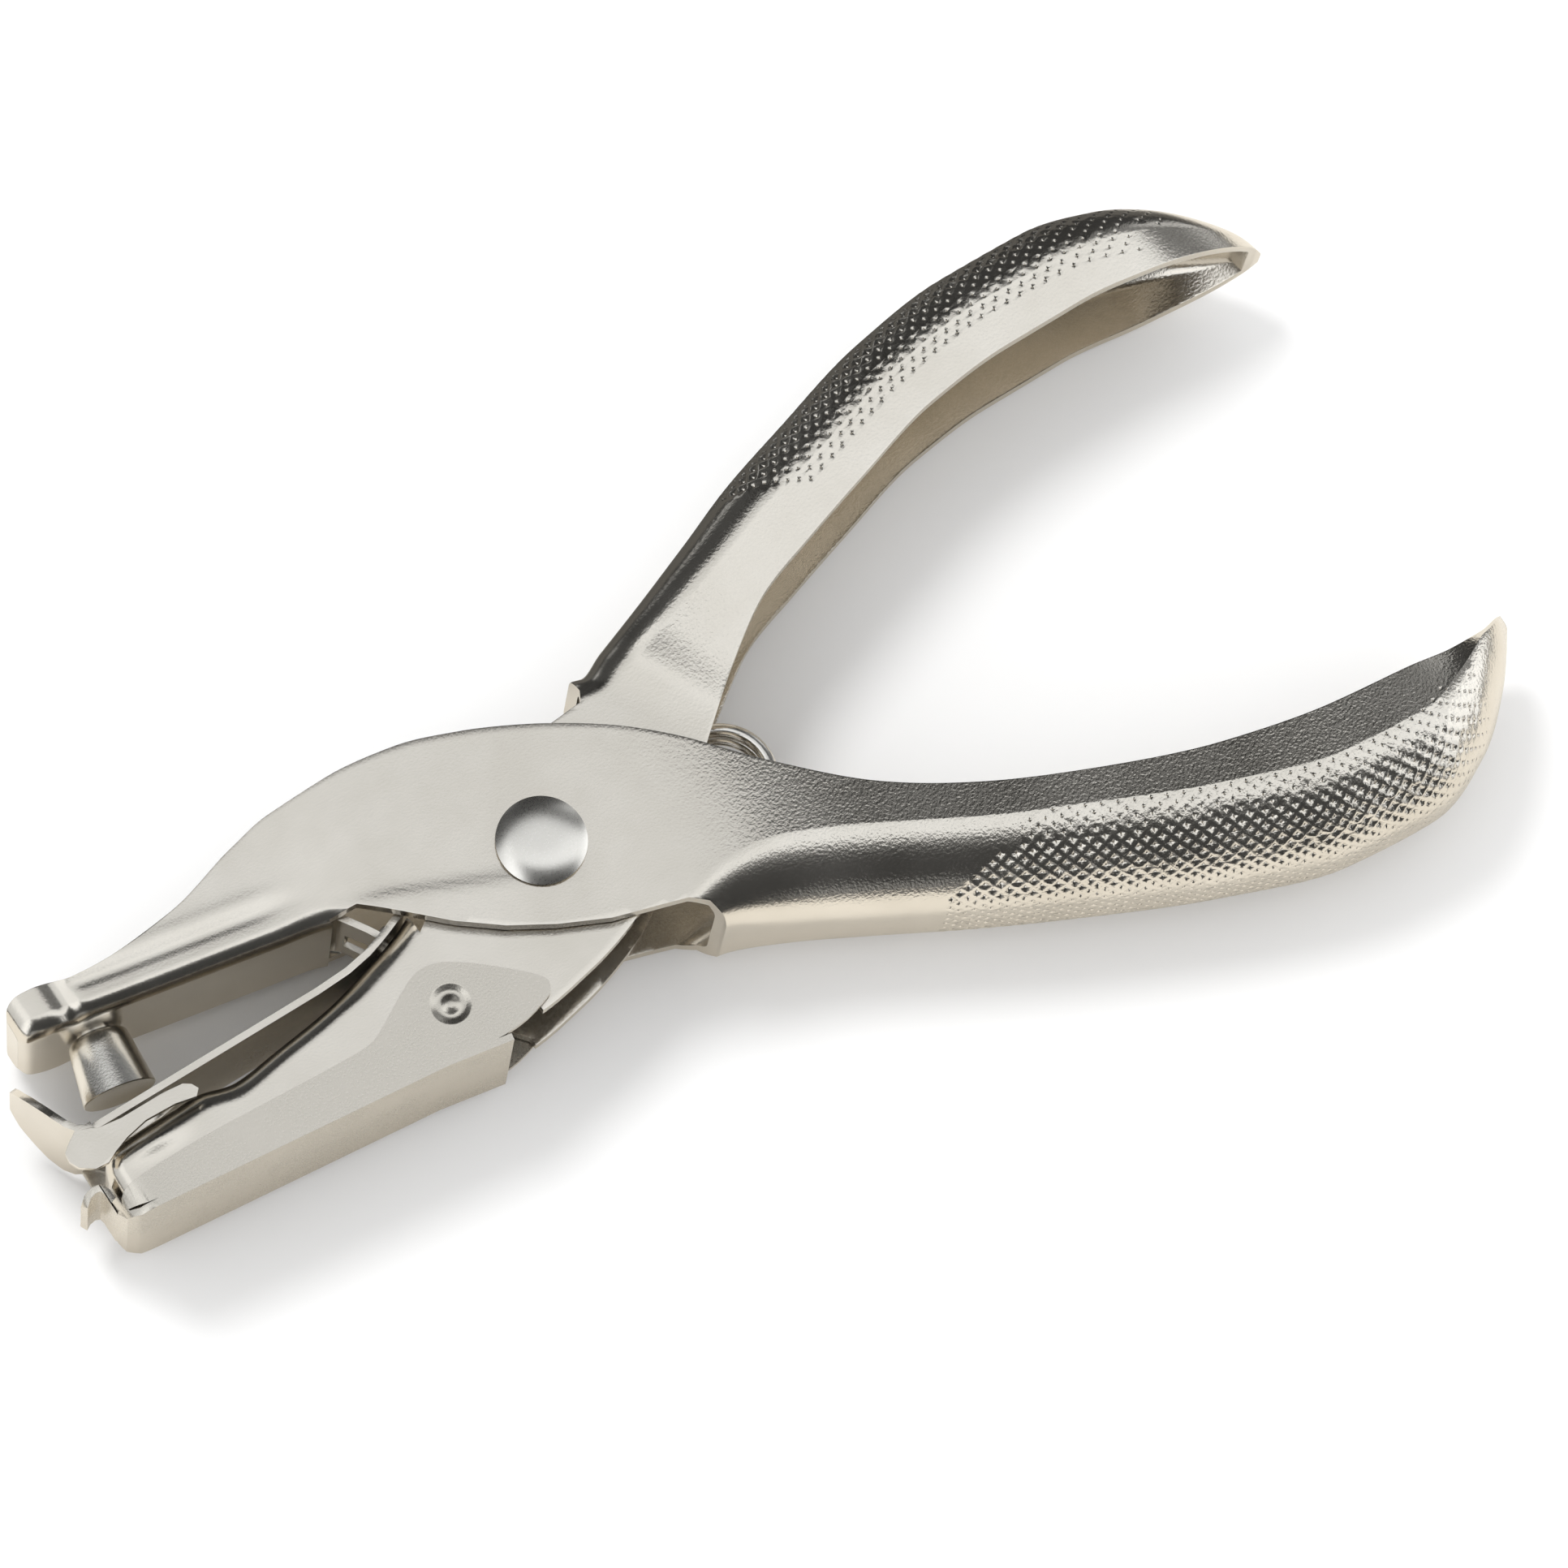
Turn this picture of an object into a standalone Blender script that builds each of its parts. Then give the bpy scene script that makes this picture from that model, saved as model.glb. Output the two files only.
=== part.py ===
"""A one-hole hand punch of plated pressed steel, lying on its side with its levers open.

The pivot rivet's axis is Z and the origin is the centre of the flat land on the rivet's lower
head. +X runs from the pivot towards the handles, along the line of the die face, and the jaws
point to -X. Outlines are in millimetres in the XY plane; widths are measured from the middle
plane, which lies MID above the ground.
"""
import math

import bmesh
import bpy
import numpy as np
from mathutils import Matrix, Vector

MM = 0.001
GAP = 0.3                 # clearance between touching pieces
WELD = 0.000004           # metres: corners closer than this are one corner

# ---- driving dimensions, mm ----
SHEET = 1.2               # pressed steel of both levers
THIN = 0.6                # thin sheet of the stripper and the chip catcher
CHEEK_HALF = 7.6          # outer half width of the punch lever's cheeks
JAW_HALF = 6.9            # outer half width of the upper jaw
GRIP_HALF = 8.6           # outer half width of both handles
INNER_HALF = 6.1          # outer half width of the die lever at the jaw and the pivot
HEAD_RISE = 1.1           # how far a rivet head stands off the cheek
MID = CHEEK_HALF + HEAD_RISE

RIVET_RADIUS = 2.5
HEAD_RADIUS = 3.8
HEAD_LAND = 1.7           # radius of the flat land on the lower head
SPACER_RADIUS = 3.7

WEB_TILT = 10.5           # degrees between the upper jaw's web and the die face, levers open
PIN_BASE = (-38.35, 7.2)  # where the punch's axis meets the web
PIN_LENGTH = 5.5
PIN_TIP_RADIUS = 3.15
PIN_BASE_RADIUS = 2.55
STAKE_RADIUS = 1.5
DIE_CENTRE = (-38.95, -2.5)
DIE_RADIUS = 3.45
BUSH_RADIUS = 4.0
BUSH_LENGTH = 1.9

STRIP_HALF = 5.9          # half width of the stripper strip
LIP_HALF = 7.05           # half width of its lip and ears, and of the chip catcher
STRIP_RIVET = (-14.2, 0.85)
STRIP_SLOPE = 22.0        # degrees, the strip's tail against X
CATCH_HINGE = (-13.6, -7.5)
DIMPLE_RADIUS = 1.1

COIL_CENTRE = (16.9, -1.9)
COIL_RADIUS = 4.3
WIRE_RADIUS = 0.6
COIL_PITCH = 2.2
COIL_START = 210.0        # degrees around the coil where the lower leg runs in
COIL_SWEEP = 780.0        # degrees of wire in the coil

STATIONS = 58             # sections along a lever
EDGE_SLACK = 3.0          # how far a lever's hollow is cut past its open edge

# Each row is one section of a lever: a point on its open edge, the point of its web opposite,
# the half width at the edge, the half width at the widest, and the radius of the bend.
PUNCH_LEVER = [
    (-44.6, 10.7, -44.6, 9.1, 5.0, 5.0, 0.9),
    (-44.2, 11.4, -44.1, 8.4, 6.0, 6.0, 1.3),
    (-43.0, 11.8, -42.9, 8.0, 6.7, 6.7, 1.6),
    (-40.5, 11.5, -40.4, 7.55, JAW_HALF, JAW_HALF, 1.6),
    (-38.3, 10.8, -38.3, 7.15, JAW_HALF, JAW_HALF, 1.6),
    (-34.9, 10.6, -35.0, 6.5, JAW_HALF, JAW_HALF, 1.6),
    (-28.6, 11.2, -29.3, 5.45, JAW_HALF, JAW_HALF, 1.6),
    (-21.8, 13.1, -23.3, 4.35, JAW_HALF, JAW_HALF, 1.6),
    (-17.5, 13.9, -18.2, 3.3, 7.1, 7.1, 1.6),
    (-11.9, 14.0, -14.0, -0.6, 7.5, 7.5, 1.6),
    (-6.0, 13.3, -8.5, -6.0, CHEEK_HALF, CHEEK_HALF, 1.6),
    (-0.8, 11.6, -3.5, -9.8, CHEEK_HALF, CHEEK_HALF, 1.6),
    (5.0, 8.8, 1.5, -11.9, CHEEK_HALF, CHEEK_HALF, 1.8),
    (10.8, 5.0, 6.0, -13.0, CHEEK_HALF, 7.7, 2.6),
    (14.3, 1.9, 9.6, -13.5, CHEEK_HALF, 8.0, 4.0),
    (19.8, -4.2, 15.0, -15.9, 7.7, 8.5, 6.0),
    (26.2, -10.3, 21.5, -19.3, 7.8, GRIP_HALF, 6.3),
    (33.0, -14.7, 28.8, -23.2, 7.9, GRIP_HALF, 6.3),
    (41.0, -18.5, 36.9, -27.2, 7.9, GRIP_HALF, 6.5),
    (52.2, -22.6, 47.6, -32.0, 7.9, GRIP_HALF, 6.8),
    (62.0, -24.7, 58.2, -35.5, 7.9, GRIP_HALF, 7.0),
    (69.3, -25.4, 66.6, -36.2, 7.4, 8.2, 7.0),
    (73.6, -25.8, 72.3, -34.2, 6.3, 7.1, 6.4),
    (77.2, -25.6, 76.5, -30.8, 4.6, 5.3, 5.0),
    (79.5, -25.0, 79.0, -28.0, 2.8, 3.2, 3.0),
    (80.6, -24.7, 80.6, -26.0, 0.9, 0.9, 0.8),
]
DIE_LEVER = [
    (-44.6, -6.0, -44.6, -4.9, 4.0, 4.0, 0.9),
    (-44.2, -7.0, -44.1, -3.5, 5.3, 5.3, 1.4),
    (-43.0, -7.3, -42.9, -2.8, 6.0, 6.0, 1.8),
    (-39.0, -7.6, -39.0, -2.5, INNER_HALF, INNER_HALF, 2.0),
    (-35.0, -7.8, -35.0, -2.5, INNER_HALF, INNER_HALF, 2.0),
    (-31.5, -8.1, -31.5, -3.3, INNER_HALF, INNER_HALF, 1.8),
    (-27.0, -8.5, -27.0, -2.8, INNER_HALF, INNER_HALF, 1.6),
    (-22.0, -9.0, -22.0, -2.1, INNER_HALF, INNER_HALF, 1.6),
    (-18.0, -10.0, -18.0, -1.0, INNER_HALF, INNER_HALF, 2.0),
    (-13.5, -11.4, -12.8, 0.8, INNER_HALF, INNER_HALF, 2.0),
    (-8.0, -11.8, -8.5, 4.6, INNER_HALF, INNER_HALF, 2.0),
    (-2.0, -10.9, -3.5, 8.6, INNER_HALF, INNER_HALF, 2.0),
    (4.0, -9.0, 1.5, 10.8, INNER_HALF, INNER_HALF, 2.0),
    (10.5, -5.2, 6.0, 11.2, INNER_HALF, INNER_HALF, 2.0),
    (15.9, -0.3, 10.6, 10.7, INNER_HALF, INNER_HALF, 2.5),
    (18.5, 1.9, 13.8, 11.9, 6.2, 6.3, 2.8),
    (22.0, 4.7, 18.1, 13.4, 7.0, 7.3, 3.2),
    (27.5, 8.3, 24.4, 15.8, 7.7, 8.2, 3.6),
    (33.0, 10.2, 30.3, 18.2, 8.0, 8.5, 3.9),
    (40.0, 12.4, 37.3, 20.4, 8.1, GRIP_HALF, 4.2),
    (48.5, 14.8, 46.5, 23.0, 8.1, GRIP_HALF, 4.2),
    (56.4, 15.6, 55.4, 24.2, 8.1, GRIP_HALF, 4.2),
    (64.0, 15.6, 63.6, 24.0, 8.1, GRIP_HALF, 4.2),
    (70.5, 14.9, 69.6, 22.5, 8.0, 8.4, 3.8),
    (75.0, 14.2, 74.0, 20.4, 7.0, 7.2, 3.2),
    (78.5, 13.5, 77.6, 17.7, 5.2, 5.3, 2.4),
    (80.7, 13.0, 80.2, 15.2, 3.0, 3.0, 1.4),
    (81.6, 12.7, 81.5, 13.4, 1.0, 1.0, 0.5),
]

# The gap in each lever's web where the other lever passes, as the outline that is cut away.
PUNCH_WINDOW = [
    (-18.1, -12.0), (-18.1, 3.8), (-15.6, 3.6), (-13.6, 1.8), (-9.7, -1.9), (-6.3, -4.5),
    (-2.7, -6.6), (1.4, -8.5), (5.7, -9.8), (7.6, -10.4), (9.0, -11.5), (9.6, -13.0), (9.6, -20.0),
]
DIE_WINDOW = [
    (-12.3, 14.0), (-12.3, -0.9), (-8.0, 2.0), (-3.0, 5.6), (2.0, 7.8), (6.0, 8.4), (9.6, 8.7),
    (10.1, 9.6), (10.1, 14.0),
]
# Between the cheeks the gap reaches up through the whole thickness of the upper jaw's web.
WINDOW_TOP = [(-18.1, -3.0), (-18.1, 6.0), (-14.0, 6.0), (-10.0, 2.0), (-10.0, -3.0)]
# The die lever's walls are cut back around the catcher's hinge, so that its floor can swing.
HINGE_NOTCH = [
    (-25.0, -10.0), (-18.0, -10.0), (-16.2, -10.9), (-13.6, -11.3), (-11.6, -10.8),
    (-9.8, -9.4), (-8.6, -9.6), (-7.4, -11.0), (-7.2, -13.0), (-25.0, -13.0),
]

# The stripper's middle line from the lip's top edge to the end of its tail.
STRIP_LINE = [
    (-46.9, 6.2), (-46.75, 5.0), (-46.3, 3.3), (-45.85, 1.8), (-45.35, 0.55), (-44.8, -0.2),
    (-44.1, -0.6), (-42.5, -0.6), (-30.0, -0.6), (-22.0, -0.6), (-19.0, -0.45), (-16.8, -0.05),
    (-15.4, 0.4), STRIP_RIVET, (-12.6, 1.5),
]
# The lip's rounded corner seen from the front, as the (y, z) outline that is cut away.
LIP_CORNER = [
    (0.8, LIP_HALF), (2.0, 6.8), (3.0, 6.2), (4.2, 5.3), (5.0, 4.5), (5.8, 3.4), (6.3, 2.4),
    (8.0, 2.4), (8.0, 9.0), (0.8, 9.0),
]
EAR = [
    (-46.1, -1.0), (-46.7, -1.5), (-46.8, -2.3), (-46.4, -3.1), (-45.3, -3.9), (-44.1, -4.0),
    (-43.1, -3.5), (-41.7, -3.0), (-39.7, -2.6), (-37.0, -2.7), (-35.2, -3.1), (-34.7, -2.6),
    (-35.0, -2.0), (-35.6, -1.6), (-37.4, -1.4), (-41.3, -1.4), (-43.4, -1.1), (-43.8, -0.6),
    (-45.0, -0.3),
]
LOW_EAR = [
    (-44.5, -0.5), (-44.5, -3.6), (-43.1, -3.5), (-41.7, -3.0), (-39.7, -2.6), (-37.0, -2.7),
    (-35.2, -3.1), (-34.7, -2.6), (-35.0, -2.0), (-35.6, -1.6), (-37.4, -1.4), (-41.3, -1.4),
    (-43.4, -1.1), (-43.8, -0.6),
]
TAB_LINE = [(-14.9, 0.5), (-15.6, 1.8), (-17.0, 3.9), (-17.4, 5.2)]
TAB_HALF = 5.2
NOTCH_RADIUS = 2.2        # around the strip's rivet head
TAB_NOTCH = (-16.2, 3.2, 1.5)      # place and radius of the notch in the tab's lower edge

# The chip catcher: the side plate's outline, and the middle line of tab, front wall and floor.
PLATE = [
    (-46.0, -6.5), (-44.9, -6.5), (-42.0, -6.2), (-36.4, -6.2), (-29.9, -6.6), (-22.6, -7.0),
    (-20.6, -6.9), (-18.9, -6.0), (-16.0, -4.3), (-14.4, -3.7), (-12.7, -3.9), (-10.8, -5.1),
    (-8.3, -7.2), (-5.8, -9.6), (-5.8, -10.6), (-6.6, -11.3), (-10.3, -12.2), (-16.6, -11.6),
    (-44.9, -8.7), (-46.0, -8.0),
]
FLOOR_LINE = [
    (-47.3, -5.4), (-46.7, -4.95), (-46.0, -4.8), (-45.4, -5.0), (-45.2, -5.6), (-45.2, -7.4),
    (-44.9, -8.3), (-44.0, -8.75), (-16.6, -11.5), (-10.8, -12.5),
]
CATCH_TAB_HALF = 4.8
CATCH_TIP_HALF = 3.3
CATCH_WALL_TOP = -6.5
CATCH_CORNER = 2.7        # radius of the catcher's front corners seen from above

# Where the spring's legs run, from the coil to their ends against the webs.
UPPER_LEG = [(16.0, 5.1), (18.5, 9.2), (24.0, 13.0), (32.0, 16.5)]
LOWER_LEG = [(16.0, -9.0), (18.5, -13.0), (26.0, -18.8), (33.0, -22.9)]

PLATED = (0.80, 0.79, 0.76)
BRIGHT = (0.86, 0.85, 0.83)
DARK_STEEL = (0.45, 0.44, 0.42)


def material(name, colour, roughness):
    """A metal with its own colour and roughness."""
    made = bpy.data.materials.new(name)
    made.use_nodes = True
    shader = made.node_tree.nodes["Principled BSDF"]
    shader.inputs["Base Color"].default_value = (*colour, 1.0)
    shader.inputs["Roughness"].default_value = roughness
    shader.inputs["Metallic"].default_value = 1.0
    return made


def new_object(name, bm):
    """Turn a bmesh in millimetres into an object in metres, its origin on the pivot's axis."""
    bmesh.ops.recalc_face_normals(bm, faces=bm.faces)
    bm.transform(Matrix.Translation((0, 0, MID * MM)) @ Matrix.Scale(MM, 4))
    mesh = bpy.data.meshes.new(name)
    bm.to_mesh(mesh)
    bm.free()
    made = bpy.data.objects.new(name, mesh)
    bpy.context.scene.collection.objects.link(made)
    return made


def finish(made, finish_material, sharp=35.0):
    """Weld an object, shade it smooth except across its sharp edges, and give it its material."""
    bm = bmesh.new()
    bm.from_mesh(made.data)
    bmesh.ops.remove_doubles(bm, verts=bm.verts, dist=WELD)
    bmesh.ops.dissolve_degenerate(bm, dist=WELD, edges=bm.edges)
    bm.to_mesh(made.data)
    bm.free()
    made.data.materials.append(finish_material)
    made.data.shade_smooth()
    made.data.set_sharp_from_angle(angle=math.radians(sharp))
    return made


def combine(made, other, operation):
    """Apply one exact Boolean to an object and remove the other object."""
    step = made.modifiers.new("step", "BOOLEAN")
    step.operation = operation
    step.solver = "EXACT"
    step.object = other
    depsgraph = bpy.context.evaluated_depsgraph_get()
    result = bpy.data.meshes.new_from_object(made.evaluated_get(depsgraph))
    made.modifiers.remove(step)
    old = made.data
    made.data = result
    bpy.data.meshes.remove(old)
    bpy.data.objects.remove(other)
    result.name = made.name
    return made


def cut(made, other):
    return combine(made, other, "DIFFERENCE")


def join(made, other):
    return combine(made, other, "UNION")


def eased(rows, count):
    """Read a table of rows as smooth curves without overshoot, at evenly spread stations."""
    table = np.array(rows, dtype=float)
    steps = np.diff(table, axis=0)
    slopes = np.zeros_like(table)
    product = steps[:-1] * steps[1:]
    total = steps[:-1] + steps[1:]
    inner = np.where(product > 0, 2.0 * product / np.where(total == 0, 1.0, total), 0.0)
    slopes[1:-1] = inner
    slopes[0] = steps[0]
    slopes[-1] = steps[-1]
    out = []
    for place in np.linspace(0.0, len(table) - 1.0, count):
        i = min(int(place), len(table) - 2)
        t = place - i
        a = 2 * t ** 3 - 3 * t ** 2 + 1
        b = t ** 3 - 2 * t ** 2 + t
        c = 3 * t ** 2 - 2 * t ** 3
        d = t ** 3 - t ** 2
        out.append(a * table[i] + b * slopes[i] + c * table[i + 1] + d * slopes[i + 1])
    return out


def half_section(depth, edge_half, wide_half, bend, start):
    """Half of a channel's section as (half width, depth) pairs, from the open edge to the web."""
    bend = min(bend, depth * 0.92, wide_half * 0.92)
    points = []
    for part in (0.0, 0.35, 0.7, 1.0):
        down = start + (depth - bend - start) * part
        swell = max(0.0, min(1.0, down / max(depth - bend, 0.01)))
        points.append((edge_half + (wide_half - edge_half) * math.sin(swell * math.pi / 2), down))
    for step in range(1, 6):
        turn = math.radians(90.0 * step / 5)
        across = wide_half - bend * (1 - math.cos(turn))
        points.append((across, depth - bend * (1 - math.sin(turn))))
    return points


def loft(name, rows, offset, start):
    """Skin a closed body through a lever's sections, drawn in by an offset."""
    bm = bmesh.new()
    rings = []
    for ex, ey, wx, wy, edge_half, wide_half, bend in rows:
        depth_line = Vector((wx - ex, wy - ey))
        depth = depth_line.length
        down = depth_line.normalized()
        half = half_section(depth - offset, edge_half - offset, wide_half - offset,
                            max(bend - offset, 0.35), start)
        ring = []
        for across, deep in half:
            ring.append(bm.verts.new((ex + down.x * deep, ey + down.y * deep, across)))
        for across, deep in reversed(half):
            ring.append(bm.verts.new((ex + down.x * deep, ey + down.y * deep, -across)))
        rings.append(ring)
    count = len(rings[0])
    for first, second in zip(rings, rings[1:]):
        for i in range(count):
            j = (i + 1) % count
            bm.faces.new((first[i], first[j], second[j], second[i]))
    bm.faces.new(rings[0])
    bm.faces.new(rings[-1])
    return new_object(name, bm)


def placed(axis, first, second, along):
    """A point of an outline at a distance along an axis: the outline is (x, y), (y, z) or (x, z)."""
    if axis == "X":
        return (along, first, second)
    if axis == "Y":
        return (first, along, second)
    return (first, second, along)


def prism(name, outline, low, high, axis="Z"):
    """Extrude an outline along an axis between two distances."""
    bm = bmesh.new()
    base = bm.faces.new([bm.verts.new(placed(axis, a, b, low)) for a, b in outline])
    raised = bmesh.ops.extrude_face_region(bm, geom=[base])
    top = [item for item in raised["geom"] if isinstance(item, bmesh.types.BMVert)]
    bmesh.ops.translate(bm, vec=placed(axis, 0, 0, high - low), verts=top)
    return new_object(name, bm)


def thick_line(line, thickness):
    """The outline of a strip of sheet seen from its edge, around its middle line."""
    points = [Vector(p) for p in line]
    left = []
    right = []
    for i, point in enumerate(points):
        before = points[max(i - 1, 0)]
        after = points[min(i + 1, len(points) - 1)]
        along = (after - before).normalized()
        normal = Vector((-along.y, along.x)) * thickness / 2
        left.append(point + normal)
        right.append(point - normal)
    return [tuple(p) for p in left + right[::-1]]


def turned(name, profile, place, axis, steps=40):
    """Spin a closed profile of (radius, height) pairs about an axis through a place."""
    bm = bmesh.new()
    corners = [bm.verts.new((radius, 0, height)) for radius, height in profile]
    edges = []
    for i, corner in enumerate(corners):
        edges.append(bm.edges.new((corner, corners[(i + 1) % len(corners)])))
    bmesh.ops.spin(bm, geom=corners + edges, axis=(0, 0, 1), cent=(0, 0, 0),
                   angle=math.tau, steps=steps, use_merge=True)
    bmesh.ops.remove_doubles(bm, verts=bm.verts, dist=0.0001)
    bmesh.ops.dissolve_degenerate(bm, dist=0.0001, edges=bm.edges)
    loose = [edge for edge in bm.edges if not edge.link_faces]
    bmesh.ops.delete(bm, geom=loose, context="EDGES")
    turn = Vector((0, 0, 1)).rotation_difference(Vector(axis)).to_matrix().to_4x4()
    bm.transform(Matrix.Translation(place) @ turn)
    return new_object(name, bm)


def rod(name, radius, place, axis, length, steps=40):
    """A plain cylinder that starts at a place and runs along an axis."""
    return turned(name, [(0, 0), (radius, 0), (radius, length), (0, length)], place, axis, steps)


def dome(radius, rise, low, land, steps=6):
    """The profile of a domed head from its rim to its land, standing on a height."""
    points = []
    for step in range(steps + 1):
        part = step / steps
        across = radius - (radius - land) * (1 - math.cos(part * math.pi / 2)) ** 1.0
        points.append((across, low + rise * math.sin(part * math.pi / 2)))
    return points


def channel(name, rows, window):
    """A lever: a skin less its hollow, less the gap in its web."""
    lever = loft(name, eased(rows, STATIONS), 0.0, 0.0)
    margin = SHEET * 0.9
    inside = []
    for row in eased(rows, STATIONS + 7):
        wide_enough = row[4] - SHEET > 0.8
        if wide_enough and rows[0][0] + margin < row[0] < rows[-1][0] - margin:
            inside.append(row)
    lever = cut(lever, loft("hollow", inside, SHEET, -EDGE_SLACK))
    return cut(lever, prism("window", window, -12.0, 12.0))


def across(name, radius, centre, reach):
    """A cylinder along Z through the whole width, centred on the middle plane."""
    return rod(name, radius, (*centre, -reach), (0, 0, 1), 2 * reach)


def make_punch_lever(metal):
    lever = channel("punch_lever", PUNCH_LEVER, PUNCH_WINDOW)
    cut(lever, prism("window_top", WINDOW_TOP, -5.7, 5.7))
    cut(lever, across("bore", RIVET_RADIUS + GAP, (0, 0), 12))
    cut(lever, rod("stake_hole", STAKE_RADIUS + GAP, pin_place(-2.0), pin_axis(), 6.0))
    return finish(lever, metal)


def make_die_lever(metal):
    lever = channel("die_lever", DIE_LEVER, DIE_WINDOW)
    cut(lever, prism("notch", HINGE_NOTCH, -12.0, 12.0))
    cut(lever, across("bore", RIVET_RADIUS + GAP, (0, 0), 12))
    cut(lever, across("hinge_bore", DIMPLE_RADIUS + GAP, CATCH_HINGE, 12))
    cut(lever, rod("die_hole", BUSH_RADIUS + 0.25, (DIE_CENTRE[0], -6.0, 0), (0, 1, 0), 8.0))
    tilt = math.radians(STRIP_SLOPE)
    axis = (-math.sin(tilt), math.cos(tilt), 0)
    place = (STRIP_RIVET[0] - axis[0] * 5, STRIP_RIVET[1] - axis[1] * 5, 0)
    cut(lever, rod("strip_hole", 1.0 + GAP, place, axis, 8.0, 20))
    return finish(lever, metal)


def pin_axis():
    """The direction from the punch's tip to its base, square to the upper jaw's web."""
    tilt = math.radians(WEB_TILT)
    return (math.sin(tilt), math.cos(tilt), 0)


def pin_place(along):
    """A point on the punch's axis, measured from its base towards its rivet head."""
    x, y, _ = pin_axis()
    return (PIN_BASE[0] + x * along, PIN_BASE[1] + y * along, 0)


def make_punch_pin(metal):
    head = SHEET + GAP
    profile = [
        (0, -PIN_LENGTH + 0.35), (PIN_TIP_RADIUS * 0.6, -PIN_LENGTH + 0.2),
        (PIN_TIP_RADIUS, -PIN_LENGTH), (PIN_BASE_RADIUS, -GAP), (STAKE_RADIUS, -GAP),
        (STAKE_RADIUS, head), (2.4, head), (2.1, head + 0.6), (1.2, head + 0.9), (0, head + 0.9),
    ]
    return finish(turned("punch_pin", profile, pin_place(0), pin_axis(), 48), metal)


def make_pivot_rivet(metal):
    under = CHEEK_HALF + 0.2
    rise = MID - under
    top = dome(HEAD_RADIUS, rise, under, 0.0)
    bottom = [(r, -z) for r, z in dome(HEAD_RADIUS, rise, under, HEAD_LAND, 4)]
    profile = [(0, -MID)] + bottom[::-1] + [(RIVET_RADIUS, -under), (RIVET_RADIUS, under)] + top
    return finish(turned("pivot_rivet", profile, (0, 0, 0), (0, 0, 1), 48), metal)


def make_pivot_spacer(metal):
    reach = INNER_HALF - SHEET - GAP
    bore = RIVET_RADIUS + GAP
    profile = [(bore, -reach), (SPACER_RADIUS, -reach), (SPACER_RADIUS, reach), (bore, reach)]
    return finish(turned("pivot_spacer", profile, (0, 0, 0), (0, 0, 1), 32), metal)


def make_die_bush(metal):
    profile = [(DIE_RADIUS, -BUSH_LENGTH), (BUSH_RADIUS, -BUSH_LENGTH),
               (BUSH_RADIUS, -0.1), (DIE_RADIUS, -0.1)]
    place = (*DIE_CENTRE, 0)
    return finish(turned("die_bush", profile, place, (0, 1, 0), 48), metal)


def make_stripper(metal):
    strip = prism("stripper_guide", thick_line(STRIP_LINE, THIN), -LIP_HALF, LIP_HALF)
    for side in (-1, 1):
        trim = [(-43.6, -6.0), (-43.6, 4.0), (-10.0, 4.0), (-10.0, -6.0)]
        ends = sorted((side * STRIP_HALF, side * 9.0))
        cut(strip, prism("trim", trim, *ends))
        corner = [(y, side * z) for y, z in LIP_CORNER]
        cut(strip, prism("corner", corner, -50.0, -43.0, "X"))
    join(strip, prism("ear", EAR, LIP_HALF - THIN, LIP_HALF))
    join(strip, prism("ear", LOW_EAR, -LIP_HALF, THIN - LIP_HALF))
    join(strip, prism("tab", thick_line(TAB_LINE, THIN), -TAB_HALF, TAB_HALF))
    cut(strip, rod("hole", 3.7, (DIE_CENTRE[0], -3.0, 0), (0, 1, 0), 4.0))
    tilt = math.radians(STRIP_SLOPE)
    axis = (-math.sin(tilt), math.cos(tilt), 0)
    place = (STRIP_RIVET[0] - axis[0] * 2, STRIP_RIVET[1] - axis[1] * 2, 0)
    cut(strip, rod("rivet_hole", 1.0 + GAP, place, axis, 3.0, 20))
    place = (STRIP_RIVET[0] + axis[0] * 0.5, STRIP_RIVET[1] + axis[1] * 0.5, 0)
    cut(strip, rod("notch", NOTCH_RADIUS, place, axis, 2.6, 24))
    x, y, radius = TAB_NOTCH
    cut(strip, rod("tab_notch", radius, (x - 1.8, y - 0.96, -TAB_HALF), (0.88, 0.47, 0), 4.0, 24))
    return finish(strip, metal)


def make_stripper_rivet(metal):
    tilt = math.radians(STRIP_SLOPE)
    axis = (-math.sin(tilt), math.cos(tilt), 0)
    low = -THIN / 2 - SHEET - 1.2
    high = THIN / 2 + GAP
    profile = [(0, low - 0.6), (1.5, low - 0.6), (1.8, low), (1.0, low), (1.0, high),
               (1.8, high), (1.4, high + 0.5), (0, high + 0.7)]
    place = (*STRIP_RIVET, 0)
    return finish(turned("stripper_rivet", profile, place, axis, 24), metal)


def corner_arc(side, radius, steps=5):
    """The catcher's front corner on one side as (x, z) points, from the plate to the front wall."""
    centre_x = -45.2 + CATCH_CORNER
    centre_z = LIP_HALF - THIN / 2 - CATCH_CORNER
    points = []
    for step in range(steps + 1):
        turn = math.radians(90.0 * step / steps)
        z = centre_z + radius * math.cos(turn)
        points.append((centre_x - radius * math.sin(turn), side * z))
    return points


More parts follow.
